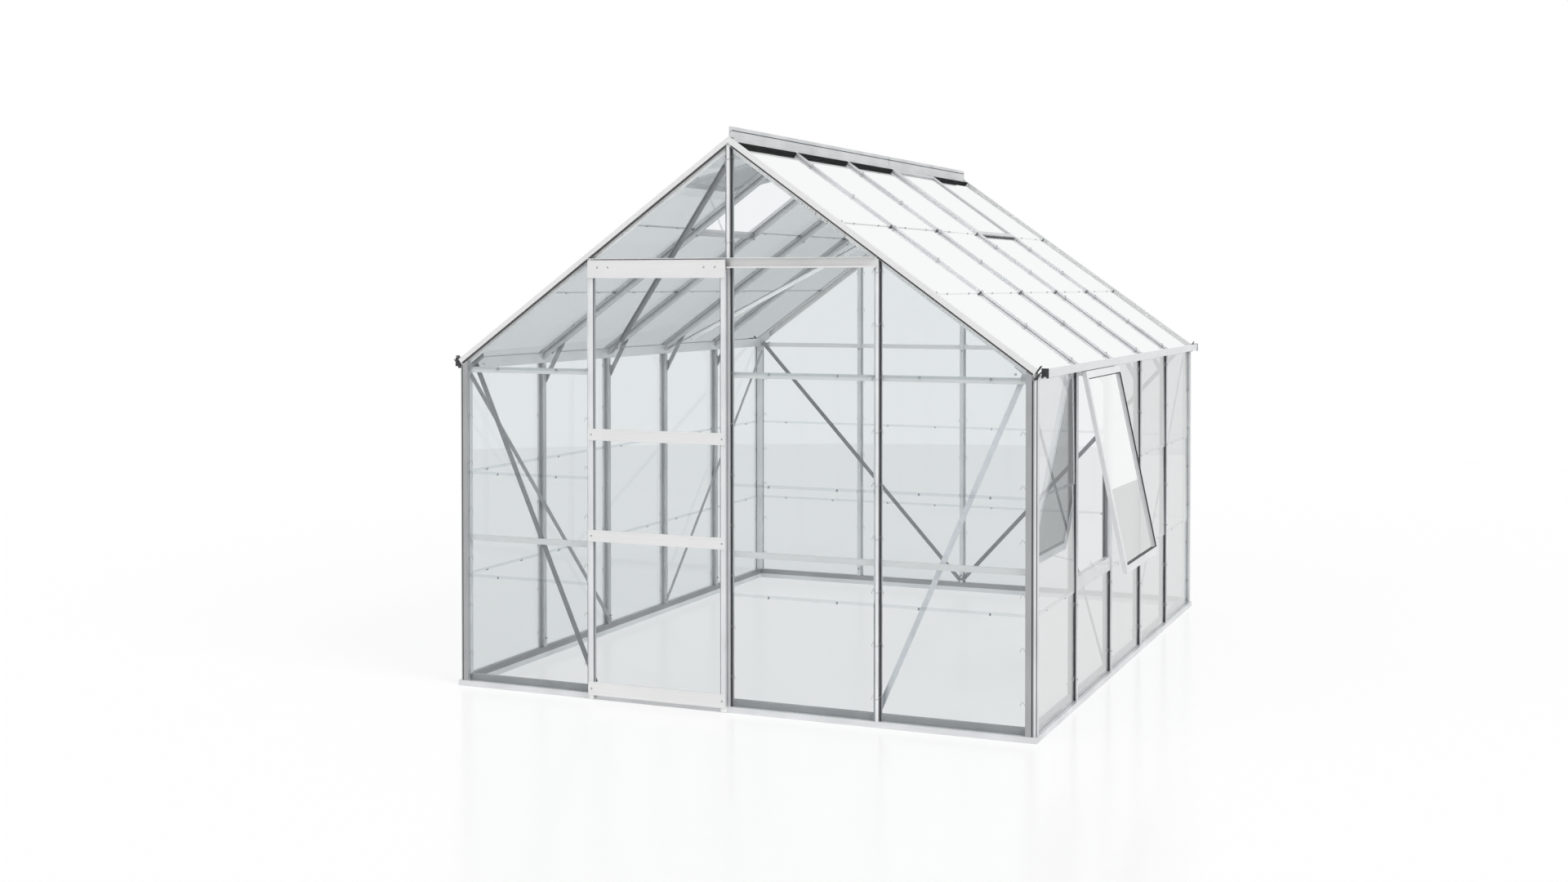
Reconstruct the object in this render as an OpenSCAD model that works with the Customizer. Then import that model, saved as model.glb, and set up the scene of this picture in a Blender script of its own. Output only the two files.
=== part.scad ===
// Glass greenhouse with a sliding front door, one side window and two roof vents.
// X runs across the front gable, Y runs back along the ridge and Z is up.
// The origin is the middle of the front sill's underside.

/* [House] */
// Width across the side walls, outside to outside
house_w = 2560; // [2200:10:3100]
// Distance between neighbouring bars of a side wall
side_bay = 620; // [500:5:760]
// Number of bays in a side wall
side_bays = 5; // [5:1:8]
// Distance from a gable's outer face to the first bay line
end_inset = 30; // [28:1:60]
// Height of the roof's outer face straight above a side wall
eaves_h = 1413; // [1200:1:1700]
// Slope of the roof in degrees
roof_pitch = 35.6; // [28:0.1:43]
// Distance of the two outer front bars from the middle
front_bar_x = 640; // [560:5:780]
// Distance of the two outer rear bars from the middle
rear_bar_x = 620; // [480:5:780]

/* [Bars] */
// Width of the rib that stands between two panes
rib_w = 12; // [8:0.5:14]
// Height of the rib above the glass seat
rib_h = 15; // [13:0.5:20]
// Width of the flange that carries the glass
flange_w = 36; // [30:1:44]
// Thickness of the flange
flange_t = 3; // [2:0.5:5]
// Thickness of the web behind the flange
web_w = 5; // [3:0.5:8]
// Width of the bolt channel on the inner edge
channel_w = 18; // [14:1:22]
// Depth of the bolt channel on the inner edge
channel_h = 6; // [5:0.5:9]
// Depth of a bar behind the glass seat
bar_depth = 26; // [24:1:34]

/* [Frame] */
// Height of the sills behind the glass
sill_h = 50; // [40:1:70]
// Height of the sills' outer lip
lip_h = 24; // [16:1:34]
// Reach of the sills beyond the posts
lip_out = 4; // [0:1:10]
// Radius of the corner posts' round outer edge
post_r = 26; // [16:1:32]
// Depth of the glass slot in a sill or post
slot_depth = 8; // [6:0.5:10]
// Depth of a gable rafter below the glass seat
rafter_drop = 14; // [12:1:20]
// Height of the lip that hangs behind the gable glass
rafter_lip = 14; // [8:1:20]
// Reach of the eaves beam below the top edge of the wall glass
beam_drop = 12; // [8:1:24]
// Thickness of the eaves beam's inner leg
beam_leg = 18; // [12:1:22]
// Width of the gutter outside the wall
gutter_w = 36; // [32:1:70]
// Height of the gutter's outer wall
gutter_h = 32; // [26:1:50]
// Thickness of the gutter's walls
gutter_t = 2.5; // [2:0.5:4]
// Height of the ridge fin above the roof's peak
ridge_rise = 43; // [30:1:70]
// Thickness of the ridge fin
ridge_w = 14; // [10:1:20]
// Height of the horizontal rails behind the gable glass
rail_h = 24; // [18:1:34]
// Depth of the horizontal rails
rail_d = 14; // [8:1:16]
// Height of the low front rail's middle
low_rail_z = 642; // [480:2:800]
// Width of the flat bracing strips
strip_w = 22; // [16:1:30]
// Thickness of the flat bracing strips and corner plates
strip_t = 2; // [2:0.5:3]
// Distance of a knee brace's foot below the eaves beam
knee_drop = 75; // [50:5:260]
// Distance of a knee brace's top from the lower end of its roof bar
knee_reach = 150; // [100:5:260]

/* [Glass] */
// Thickness of the panes
glass_t = 3; // [3:0.5:4]
// Gap at each side of a pane
glass_gap = 2; // [1:0.5:3]
// Overlap of a pane over the one below it
lap = 12; // [8:1:20]
// Height of the lower overlap in the walls
lap_low = 472; // [380:2:560]
// Height of the upper overlap in the walls
lap_high = 917; // [760:2:1050]
// Distance down the slope of the roof's upper overlap
roof_lap_high = 575; // [480:5:640]
// Distance down the slope of the roof's lower overlap
roof_lap_low = 1060; // [900:5:1200]

/* [Door] */
// Width of the sliding door
door_w = 630; // [540:5:720]
// Height of the door's top edge above the ground
door_top = 1834; // [1700:1:1850]
// Gap between the door and the ground
door_gap = 22; // [16:1:35]
// Height of the plate across the door's top
head_h = 74; // [60:1:90]
// Height of the kick plate at the door's foot
kick_h = 56; // [40:1:90]
// Height of the door's two middle rails
mid_h = 48; // [36:1:60]
// Height of the middle of the lower middle rail
mid_low = 688; // [560:2:760]
// Height of the middle of the upper middle rail
mid_high = 1110; // [980:2:1220]
// Width of the door's stiles
stile_w = 20; // [16:1:32]
// Depth of the door's stiles
stile_d = 13; // [10:1:18]
// Thickness of the plates on the door's face
plate_t = 6; // [4:0.5:8]
// Distance that the door is slid to the right
door_open = 0; // [0:10:600]
// Clearance between the door and what it slides past
door_clear = 7; // [6.5:0.5:10]
// Radius of the door's rollers
roller_r = 11; // [9:0.5:12]

/* [Window and vents] */
// Length of the side window from its hinge
window_l = 837; // [700:1:870]
// Angle that the side window stands open
window_open = 12; // [2:0.5:30]
// Width of the side window's rails
window_rail = 30; // [22:1:44]
// Thickness of the side window's frame
window_t = 18; // [14:1:24]
// Length of a roof vent from its hinge
vent_l = 563; // [480:1:600]
// Angle that the left vent stands open
left_vent_open = 23; // [3:0.5:40]
// Angle that the right vent stands open
right_vent_open = 0; // [0:0.5:20]
// Width of the vents' rails
vent_rail = 26; // [20:1:36]
// Thickness of the vents' frames
vent_t = 14; // [12:1:20]
// Width of the sills below the vents
cross_w = 34; // [24:1:44]
// Height of the sill below the side window
apron_h = 60; // [40:1:90]

/* [Hidden] */
$fn = 32;

// Gap between neighbouring pieces that only touch
touch = 0.2;
// Reach of the blocks that cut pieces to the roof
far = 4000;

seat_in = rib_h + 1;
frame_d = seat_in + bar_depth;
half_w = house_w / 2;
front_in = (frame_d + lip_out) / 2;
front_out = front_in - frame_d;
front_seat = front_out + seat_in;
cap_y = front_seat + 9;
rear_axis = side_bays * side_bay + 2 * end_inset + 2 * front_out;
side_seat = half_w - seat_in;
side_in = half_w - frame_d;
bar_ys = [for (i = [1 : side_bays - 1]) front_out + end_inset + i * side_bay];
bay_lines = concat([front_out + end_inset], bar_ys,
                   [rear_axis - front_out - end_inset]);

// Roof planes, with n measured square to the slope from the glass seat
peak_z = eaves_h + half_w * tan(roof_pitch);
seat_peak = peak_z - rib_h / cos(roof_pitch);
function plane_z(x, n) = seat_peak - abs(x) * tan(roof_pitch) + n / cos(roof_pitch);
slope_end = (half_w + rafter_drop * sin(roof_pitch)) / cos(roof_pitch);
slope_start = 34;
rib_start = 10;
glass_end = slope_end - 2;
rafter_end = slope_end - 18;
hinge_s = slope_start - 11;
hinge_n = 3.5;

// Pieces of the eaves
beam_x = side_seat - touch - beam_leg;
gutter_z = seat_peak - glass_end * sin(roof_pitch) - gutter_t - 4;
wall_glass_top = gutter_z - 2;
beam_z = wall_glass_top - beam_drop;
gutter_y = front_in - 7;

// Bays, counted from the front, that hold the window and the vents
window_bay = 1;
left_vent_bay = 1;
right_vent_bay = 3;
// Underside of the side window's sill
apron_z = lap_low;

// ---------- helpers ----------

module along_x(x0, x1) {
    translate([x0, 0, 0]) rotate([90, 0, 90]) linear_extrude(x1 - x0) children();
}

module along_y(y0, y1) {
    translate([0, y1, 0]) rotate([90, 0, 0]) linear_extrude(y1 - y0) children();
}

module on_left() {
    mirror([1, 0, 0]) children();
}

module both_sides() {
    children();
    on_left() children();
}

module at_rear() {
    translate([0, rear_axis, 0]) mirror([0, 1, 0]) children();
}

// Local x runs down the right slope, y along the ridge, z out of the roof
module on_slope() {
    translate([0, 0, seat_peak]) rotate([0, roof_pitch, 0]) children();
}

// Local x runs along a wall, y up and z outward from the glass seat
module on_front_seat() {
    translate([0, front_seat, 0]) rotate([90, 0, 0]) children();
}

module on_right_seat() {
    translate([side_seat, 0, 0]) rotate([90, 0, 90]) children();
}

// The same, with z inward from the inner faces of the bars
module inside_front() {
    translate([0, front_in, 0]) rotate([90, 0, 0]) mirror([0, 0, 1]) children();
}

module inside_right() {
    translate([side_in, 0, 0]) rotate([90, 0, 90]) mirror([0, 0, 1]) children();
}

module inside_slope() {
    on_slope() translate([0, 0, -bar_depth]) mirror([0, 0, 1]) children();
}

// Everything that lies below the roof plane n
module below_roof(n) {
    along_y(-far / 4, rear_axis + far / 4)
        polygon([[-far, -far / 4], [far, -far / 4], [far, plane_z(far, n)],
                 [0, plane_z(0, n)], [-far, plane_z(far, n)]]);
}

module bar_shape() {
    side = [[rib_w / 2, rib_h], [rib_w / 2, 0], [flange_w / 2, 0],
            [flange_w / 2, -flange_t], [web_w / 2, -flange_t],
            [web_w / 2, channel_h - bar_depth],
            [channel_w / 2, channel_h - bar_depth], [channel_w / 2, -bar_depth]];
    other = [for (i = [len(side) - 1 : -1 : 0]) [-side[i].x, side[i].y]];
    polygon(concat(side, other));
}

// A pane in a wall: its lower edge is lifted over the pane below when lapped
module pane(u0, u1, w0, w1, lapped) {
    lift = lapped ? asin((glass_t + touch) / (w1 - w0)) : 0;
    translate([0, w1, 0]) rotate([-lift, 0, 0])
        translate([u0, w0 - w1, 0]) cube([u1 - u0, w1 - w0, glass_t]);
}

module roof_pane(y0, y1, s0, s1, lapped) {
    lift = lapped ? asin((glass_t + touch) / (s1 - s0)) : 0;
    translate([s0, y0, 0]) rotate([0, -lift, 0])
        cube([s1 - s0, y1 - y0, glass_t]);
}

// A flat strip from p to q, held off its plane, with a spacer at q
module strip(p, q, lift = 0) {
    d = q - p;
    translate([p.x, p.y, lift]) rotate(atan2(d.y, d.x))
        translate([-strip_w / 2, -strip_w / 2, 0])
            cube([norm(d) + strip_w, strip_w, strip_t]);
    if (lift > 0)
        translate([q.x, q.y, 0]) cylinder(r = channel_w / 3, h = lift);
}

// ---------- sills and posts ----------

// Outline of a sill's foot, with x inward from the outer face of the posts
module foot_shape() {
    difference() {
        translate([-lip_out, 0]) square([frame_d + lip_out, lip_h]);
        translate([seat_in - glass_t - 1, lip_h - slot_depth])
            square([glass_t + 1 + touch, slot_depth + 1]);
    }
}

// Outline of the part of a sill that stands behind the glass
module upstand_shape() {
    translate([seat_in + flange_t, lip_h - 1])
        square([frame_d - seat_in - flange_t, sill_h - lip_h + 1]);
}

module front_sill() {
    end = half_w + lip_out;
    color("silver") difference() {
        union() {
            along_x(-end, end) translate([front_out, 0]) foot_shape();
            along_x(-side_in + touch, side_in - touch)
                translate([front_out, 0]) upstand_shape();
        }
        both_sides() translate([side_seat - touch, front_in - slot_depth, lip_h - slot_depth])
            cube([glass_t + 1 + touch, slot_depth + 1, slot_depth + 1]);
    }
}

module rear_sill() {
    color("silver") at_rear() front_sill();
}

module right_sill() {
    color("silver") along_y(front_in, rear_axis - front_in)
        translate([half_w, 0]) mirror([1, 0]) {
            foot_shape();
            upstand_shape();
        }
}

module left_sill() {
    color("silver") on_left() right_sill();
}

// Outline of a corner post, grooved along both outer faces
module post_shape() {
    slot_w = 2 * glass_t + 2 * touch + 1;
    groove_w = 5;
    groove_d = 6;
    difference() {
        intersection() {
            square(frame_d);
            union() {
                translate([post_r, post_r]) circle(r = post_r, $fn = 48);
                translate([post_r, 0]) square(frame_d);
                translate([0, post_r]) square(frame_d);
            }
        }
        translate([frame_d - slot_depth, seat_in + touch - slot_w])
            square([slot_depth + 1, slot_w]);
        translate([seat_in + touch - slot_w, frame_d - slot_depth])
            square([slot_w, slot_depth + 1]);
        translate([seat_in - groove_w / 2, -1]) square([groove_w, groove_d + 1]);
        translate([-1, seat_in - groove_w / 2]) square([groove_d + 1, groove_w]);
    }
}

module front_left_post() {
    color("silver") intersection() {
        translate([-half_w, front_out, lip_h])
            linear_extrude(eaves_h) post_shape();
        below_roof(-rafter_drop);
    }
}

module front_right_post() {
    color("silver") on_left() front_left_post();
}

module rear_left_post() {
    color("silver") at_rear() front_left_post();
}

module rear_right_post() {
    color("silver") at_rear() front_right_post();
}

// ---------- wall bars ----------

// A bar of height h, notched at its foot to stand over a sill's upstand
module standing_bar(h) {
    difference() {
        linear_extrude(h) bar_shape();
        translate([-flange_w, -bar_depth - 1, -1])
            cube([2 * flange_w, bar_depth + 1 - flange_t, sill_h - lip_h + 1]);
    }
}

module gable_bars(offset_x) {
    intersection() {
        for (x = [-offset_x, 0, offset_x])
            translate([x, front_seat, lip_h]) rotate([0, 0, 180])
                standing_bar(peak_z);
        below_roof(-rafter_drop);
    }
}

module front_gable_bars() {
    color("silver") gable_bars(front_bar_x);
}

module rear_gable_bars() {
    color("silver") at_rear() gable_bars(rear_bar_x);
}

module right_wall_bars() {
    color("silver") for (y = bar_ys)
        translate([side_seat, y, lip_h]) rotate([0, 0, -90]) {
            standing_bar(beam_z - lip_h);
            translate([-rib_w / 2, touch, 0])
                cube([rib_w, rib_h - touch, wall_glass_top - lip_h]);
        }
}

module left_wall_bars() {
    color("silver") on_left() right_wall_bars();
}

// ---------- roof frame ----------

// Outline across a gable rafter, with x along Y and y out of the roof
module rafter_shape() {
    recess = 8;
    polygon([[front_out, rib_h], [cap_y, rib_h], [cap_y, 0],
             [front_in + 1, 0], [front_in + 1, -flange_t], [cap_y, -flange_t],
             [cap_y, -rafter_drop], [front_seat + flange_t, -rafter_drop],
             [front_seat + flange_t, -rafter_drop - rafter_lip],
             [front_seat, -rafter_drop - rafter_lip],
             [front_seat, -rafter_drop], [front_out + recess, -rafter_drop],
             [front_out + recess, -rafter_drop / 3], [front_out, -rafter_drop / 3]]);
}

// One rafter on the right slope, slotted where the bars and the post stand
module rafter(offset_x) {
    difference() {
        intersection() {
            on_slope() along_x(-far / 40, rafter_end) rafter_shape();
            translate([0, -far / 2, 0]) cube(far);
        }
        intersection() {
            for (x = [0, offset_x])
                translate([x - flange_w / 2 - touch, front_seat - 1, 0])
                    cube([flange_w + 2 * touch, flange_t + 2, peak_z]);
            below_roof(-rafter_drop);
        }
        intersection() {
            translate([side_in - touch, front_seat - 1, 0])
                cube([frame_d + 10, flange_t + 2, peak_z]);
            below_roof(-rafter_drop);
        }
    }
}

module front_rafters() {
    color("gainsboro") both_sides() rafter(front_bar_x);
}

module rear_rafters() {
    color("gainsboro") at_rear() both_sides() rafter(rear_bar_x);
}

// The ribs reach over the ridge's hinge channels, and the webs end at the beam
module right_roof_bars() {
    color("silver") difference() {
        on_slope() for (y = bar_ys) translate([0, y, 0]) {
            along_x(slope_start, slope_end) bar_shape();
            translate([rib_start, -rib_w / 2, 3])
                cube([slope_start - rib_start + 1, rib_w, rib_h - 3]);
        }
        along_y(front_out, rear_axis)
            polygon([[beam_x - touch, 0], [far, 0], [far, plane_z(far, -flange_t)],
                     [beam_x - touch, plane_z(beam_x - touch, -flange_t)]]);
    }
}

module left_roof_bars() {
    color("silver") on_left() right_roof_bars();
}

// Outline of the ridge between the rafters: fin, hinge channels and bolt wings
module ridge_shape() {
    wing_start = 16;
    wing_end = 62;
    wing_t = 3;
    hinge_r = 8.5;
    hinge_at = [15.5, -6];
    keel_z = plane_z(0, -bar_depth) - 12;
    translate([-ridge_w / 2, seat_peak]) square([ridge_w, peak_z - seat_peak + 1]);
    translate([-ridge_w / 2 + 1, keel_z]) square([ridge_w - 2, seat_peak - keel_z]);
    for (side = [0, 1]) mirror([side, 0]) translate([0, seat_peak])
        rotate(-roof_pitch) {
            translate(hinge_at) circle(r = hinge_r);
            translate([wing_start, -bar_depth - wing_t])
                square([wing_end - wing_start, wing_t]);
        }
}

// Outline of the fin above the rafters, with a groove on each face
module fin_shape() {
    groove_d = 2;
    groove_h = 7;
    strip_h = 14;
    difference() {
        translate([-ridge_w / 2, peak_z]) square([ridge_w, ridge_rise]);
        for (side = [0, 1]) mirror([side, 0])
            translate([ridge_w / 2 - groove_d,
                       peak_z + ridge_rise - strip_h - groove_h])
                square([groove_d + 1, groove_h]);
    }
}

module ridge() {
    inner = front_in + 1 + touch;
    color("gainsboro") union() {
        along_y(cap_y + touch, rear_axis - cap_y - touch) fin_shape();
        along_y(inner, rear_axis - inner) ridge_shape();
    }
}

// Outline of the right eaves beam with its sloped top
module beam_shape() {
    polygon([[beam_x, beam_z], [side_seat - touch, beam_z],
             [side_seat - touch, wall_glass_top + touch],
             [half_w, wall_glass_top + touch],
             [half_w, plane_z(half_w, -flange_t)],
             [beam_x, plane_z(beam_x, -flange_t)]]);
}

module gutter_shape() {
    lip = 7;
    translate([half_w, gutter_z]) {
        square([gutter_w, gutter_t]);
        translate([gutter_w - gutter_t, 0]) square([gutter_t, gutter_h]);
        translate([gutter_w - lip, gutter_h - gutter_t]) square([lip, gutter_t]);
    }
}

module right_gutter() {
    inner = front_in + strip_t + touch;
    color("gainsboro") union() {
        along_y(inner, rear_axis - inner) beam_shape();
        along_y(gutter_y, rear_axis - gutter_y) gutter_shape();
    }
}

module left_gutter() {
    color("gainsboro") on_left() right_gutter();
}

// Outline of a gutter's end cap, arched below
module cap_shape() {
    cap_in = 10;
    difference() {
        translate([half_w + cap_in, gutter_z - 4])
            square([gutter_w + 2 - cap_in, gutter_h + 6]);
        translate([half_w + (gutter_w + cap_in) / 2, gutter_z - 5])
            circle(r = gutter_w / 5);
    }
}

// Each end has a cap on the gutter and a cover on the rafter's foot
module gutter_end_caps() {
    cap_t = 4;
    color("dimgray") for (rear = [0, 1])
        translate([0, rear * rear_axis, 0]) mirror([0, rear, 0]) both_sides() {
            along_y(gutter_y - cap_t, gutter_y) cap_shape();
            on_slope() translate([rafter_end, front_out, 0])
                cube([2.5, cap_y - front_out, rib_h + 20]);
        }
}

// ---------- horizontal rails and braces ----------

// A rail between two bars or a bar and a post, behind the glass
module gable_rail(x0, x1, z) {
    translate([x0, front_seat + flange_t, z - rail_h / 2])
        cube([x1 - x0, rail_d, rail_h]);
}

module gable_rails() {
    eaves_rail_z = wall_glass_top - 14;
    head_z = door_top - rail_h / 2 - 4;
    web = web_w / 2;
    color("silver") {
        for (z = [low_rail_z, eaves_rail_z]) {
            gable_rail(-side_in, -front_bar_x - web, z);
            gable_rail(web, front_bar_x - web, z);
            gable_rail(front_bar_x + web, side_in, z);
        }
        gable_rail(-front_bar_x + web, -web, head_z);
        gable_rail(web, front_bar_x - web, head_z);
        at_rear() both_sides() {
            gable_rail(web, rear_bar_x - web, eaves_rail_z + 12);
            gable_rail(rear_bar_x + web, side_in, eaves_rail_z + 12);
        }
    }
}

module gable_braces() {
    top = [side_in - 18, beam_z + 18];
    foot_z = sill_h + 20;
    color("darkgray") {
        inside_front() both_sides()
            strip(top, [front_bar_x, foot_z], strip_t);
        at_rear() inside_front() both_sides() intersection() {
            strip(top, [channel_w / 2 + 4, foot_z], strip_t);
            translate([touch, 0, 0]) cube(far);
        }
    }
}

module wall_braces() {
    top = [front_in - 5, beam_z - 34];
    foot_z = sill_h + 20;
    color("darkgray") both_sides() {
        inside_right()
            strip(top, [bar_ys[1], foot_z]);
        at_rear() inside_right()
            strip(top, [rear_axis - bar_ys[side_bays - 3], foot_z]);
    }
}

module roof_braces() {
    top_s = 46;
    foot_s = slope_end - 60;
    color("darkgray") both_sides() {
        inside_slope()
            strip([top_s, front_in + 24], [foot_s, bar_ys[1]], 3);
        at_rear() inside_slope()
            strip([top_s, front_in + 24],
                  [foot_s, rear_axis - bar_ys[side_bays - 3]], 3);
    }
}

// A strip from each wall bar to its roof bar, on the side of their channels
module knee_braces() {
    foot = [side_in + channel_h / 2, beam_z - knee_drop];
    s = slope_end - knee_reach;
    n = channel_h / 2 - bar_depth;
    top = [s * cos(roof_pitch) + n * sin(roof_pitch),
           seat_peak - s * sin(roof_pitch) + n * cos(roof_pitch)];
    color("darkgray") both_sides() for (y = bar_ys)
        translate([0, y + channel_w / 2, 0])
            rotate([90, 0, 0]) mirror([0, 0, 1]) strip(foot, top);
}

// Plates that tie post, beam and rafter together at the eaves corners
module corner_plates() {
    reach = 64;
    arm = 30;
    low = beam_z - 34;
    x0 = side_seat - 2;
    x1 = side_in + 8;
    color("silver") {
        for (rear = [0, 1])
            translate([0, rear * rear_axis, 0]) mirror([0, rear, 0])
                inside_front() both_sides()
                    linear_extrude(strip_t)
                        polygon([[x0, low], [x1, low], [x1 - 12, beam_z + 10],
                                 [x1 - reach, plane_z(x1 - reach, -rafter_drop) - arm],
                                 [x1 - reach, plane_z(x1 - reach, -flange_t) - 1],
                                 [x0, plane_z(x0, -flange_t) - 1]]);
    }
}

// ---------- glass ----------

// Panes of one gable bay, trimmed under the rafters
module gable_bay(x0, x1, levels) {
    intersection() {
        on_front_seat() for (i = [0 : len(levels) - 2])
            pane(x0, x1, levels[i], levels[i + 1] + (i < len(levels) - 2 ? lap : 0),
                 i > 0);
        below_roof(-rafter_drop - 1);
    }
}

module gable_panes(offset_x, middle_levels, door_bay) {
    edge = side_in + slot_depth - glass_gap;
    side = rib_w / 2 + glass_gap;
    foot = lip_h - slot_depth + 1;
    outer = [foot, lap_low, lap_high, wall_glass_top - lap, peak_z];
    gable_bay(-edge, -offset_x - side, outer);
    gable_bay(offset_x + side, edge, outer);
    if (!door_bay) gable_bay(-offset_x + side, -side, middle_levels);
    gable_bay(side, offset_x - side, middle_levels);
}

module front_glass() {
    side = rib_w / 2 + glass_gap;
    foot = lip_h - slot_depth + 1;
    head = door_top - 20;
    levels = [foot, lap_low, lap_high, wall_glass_top - lap, head];
    color("lightcyan", 0.4) {
        gable_panes(front_bar_x, levels, true);
        gable_bay(side, front_bar_x - side, [head + 2, peak_z]);
        gable_bay(-front_bar_x + side, -side, [head + 2, peak_z]);
    }
}

module rear_glass() {
    foot = lip_h - slot_depth + 1;
    color("lightcyan", 0.4) at_rear()
        gable_panes(rear_bar_x,
                    [foot, lap_low, lap_high, wall_glass_top - lap, peak_z], false);
}

// Side edges of the pane in bay i, where the end bays reach into the posts
function pane_start(i) = i == 0 ? front_in - slot_depth + glass_gap
                                : bay_lines[i] + rib_w / 2 + glass_gap;
function pane_end(i) = i == side_bays - 1 ? rear_axis - front_in + slot_depth - glass_gap
                                          : bay_lines[i + 1] - rib_w / 2 - glass_gap;

module wall_panes(short_bay) {
    foot = lip_h - slot_depth + 1;
    for (i = [0 : side_bays - 1]) {
        pane(pane_start(i), pane_end(i), foot, i == short_bay ? apron_z - 1 : lap_low + lap,
             false);
        if (i != short_bay) {
            pane(pane_start(i), pane_end(i), lap_low, lap_high + lap, true);
            pane(pane_start(i), pane_end(i), lap_high, wall_glass_top, true);
        }
    }
}

module right_wall_glass() {
    color("lightcyan", 0.4) on_right_seat() wall_panes(window_bay);
}

module left_wall_glass() {
    color("lightcyan", 0.4) on_left() on_right_seat() wall_panes(-1);
}

// Panes of the right slope, where the bay under a vent has no top pane
module roof_panes(vent_bay) {
    for (i = [0 : side_bays - 1]) {
        y0 = i == 0 ? cap_y + glass_gap : pane_start(i);
        y1 = i == side_bays - 1 ? rear_axis - cap_y - glass_gap : pane_end(i);
        vent = i == vent_bay;
        if (!vent) roof_pane(y0, y1, slope_start - 6, roof_lap_high, true);
        roof_pane(y0, y1, vent ? vent_sill_s + cross_w / 2 + 1 : roof_lap_high - lap,
                  roof_lap_low, true);
        roof_pane(y0, y1, roof_lap_low - lap, glass_end, false);
    }
}

vent_sill_s = hinge_s + vent_l - 6;

module right_roof_glass() {
    color("lightcyan", 0.4) on_slope() roof_panes(right_vent_bay);
}

module left_roof_glass() {
    color("lightcyan", 0.4) on_left() on_slope() roof_panes(left_vent_bay);
}

// ---------- window and vents ----------

// Four butted rails around a pane: x across, y down from the hinge, z outward
module sash_frame(w, l, rail, t) {
    for (x = [-w / 2, w / 2 - rail])
        translate([x, rail + touch, 0]) cube([rail, l - 2 * rail - 2 * touch, t]);
    for (y = [0, l - rail])
        translate([-w / 2, y, 0]) cube([w, rail, t]);
}

module sash_glass(w, l, rail, t) {
    translate([-w / 2 + rail + touch, rail + touch, (t - glass_t) / 2])
        cube([w - 2 * rail - 2 * touch, l - 2 * rail - 2 * touch, glass_t]);
}

// Middle of bay i along Y
function bay_mid(i) = (bay_lines[i] + bay_lines[i + 1]) / 2;

window_w = side_bay - 8;
window_x = half_w + 12;
window_z = gutter_z - 8;

module in_window() {
    translate([window_x, bay_mid(window_bay), window_z]) rotate([0, -window_open, 0])
        rotate([-90, 0, -90]) children();
}

module side_window_frame() {
    color("gainsboro") in_window()
        sash_frame(window_w, window_l, window_rail, window_t);
}

module side_window_glass() {
    color("lightcyan", 0.4) in_window()
        sash_glass(window_w, window_l, window_rail, window_t);
}

// A sill between two bars: across the bay in x, down the slope in y
module cross_sill(w, outer_t) {
    web = side_bay - web_w;
    flange = side_bay - flange_w - 2 * touch;
    rib = side_bay - rib_w - 2 * touch;
    translate([-web / 2, -w / 2, -flange_t - 11]) cube([web, w, 11]);
    translate([-flange / 2, -w / 2, -flange_t - touch])
        cube([flange, w, flange_t + 2 * touch]);
    if (outer_t > 0)
        translate([-rib / 2, -w / 2, touch]) cube([rib, w, outer_t]);
}

module side_window_rails() {
    mid = bay_mid(window_bay);
    gap = side_bay - rib_w - 2 * touch;
    color("gainsboro") {
        translate([side_seat, mid, apron_z + apron_h / 2])
            rotate([90, 0, 90]) cross_sill(apron_h, 9);
        translate([side_seat + touch, mid - gap / 2, wall_glass_top - 22])
            cube([window_x - side_seat - 2 * touch, gap, 22]);
    }
}

// Casement stay from the sill to the window's bottom rail
module side_window_stay() {
    mid = bay_mid(window_bay);
    stay_w = 12;
    block_h = 4;
    reach = window_l - window_rail / 2;
    tip = [window_x + reach * sin(window_open), window_z - reach * cos(window_open)];
    foot = [side_seat + 2, apron_z + apron_h];
    d = tip - foot - [0, block_h + touch];
    color("lightgray") {
        translate([foot.x - 12, mid - stay_w, foot.y]) cube([22, 2 * stay_w, block_h]);
        translate([foot.x, mid - stay_w / 2, foot.y + block_h + touch])
            rotate([0, -atan2(d.y, d.x), 0]) cube([norm(d) - 2.2, stay_w, 3]);
    }
}

// The vent's frame hangs on a round edge that sits beside the ridge channel
vent_w = side_bay - rib_w - 8;

module in_vent(bay, open) {
    on_slope() translate([hinge_s, bay_mid(bay), hinge_n]) rotate([0, -open, 0])
        translate([0, 0, 0.5 - hinge_n]) rotate([0, 0, -90]) mirror([1, 0, 0])
            children();
}

module vent_frame(bay, open) {
    in_vent(bay, open) sash_frame(vent_w, vent_l, vent_rail, vent_t);
    on_slope() translate([hinge_s, bay_mid(bay), hinge_n]) rotate([90, 0, 0])
        cylinder(r = hinge_n - 0.6, h = vent_w, center = true);
}

module right_vent_frame() {
    color("gainsboro") vent_frame(right_vent_bay, right_vent_open);
}

module left_vent_frame() {
    color("gainsboro") on_left() vent_frame(left_vent_bay, left_vent_open);
}

module right_vent_glass() {
    color("lightcyan", 0.4) in_vent(right_vent_bay, right_vent_open)
        sash_glass(vent_w, vent_l, vent_rail, vent_t);
}

module left_vent_glass() {
    color("lightcyan", 0.4) on_left() in_vent(left_vent_bay, left_vent_open)
        sash_glass(vent_w, vent_l, vent_rail, vent_t);
}

module vent_sill(bay) {
    on_slope() translate([vent_sill_s, bay_mid(bay), 0]) rotate([0, 0, -90])
        cross_sill(cross_w, 0);
}

module vent_sills() {
    color("gainsboro") {
        vent_sill(right_vent_bay);
        on_left() vent_sill(left_vent_bay);
    }
}

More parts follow.
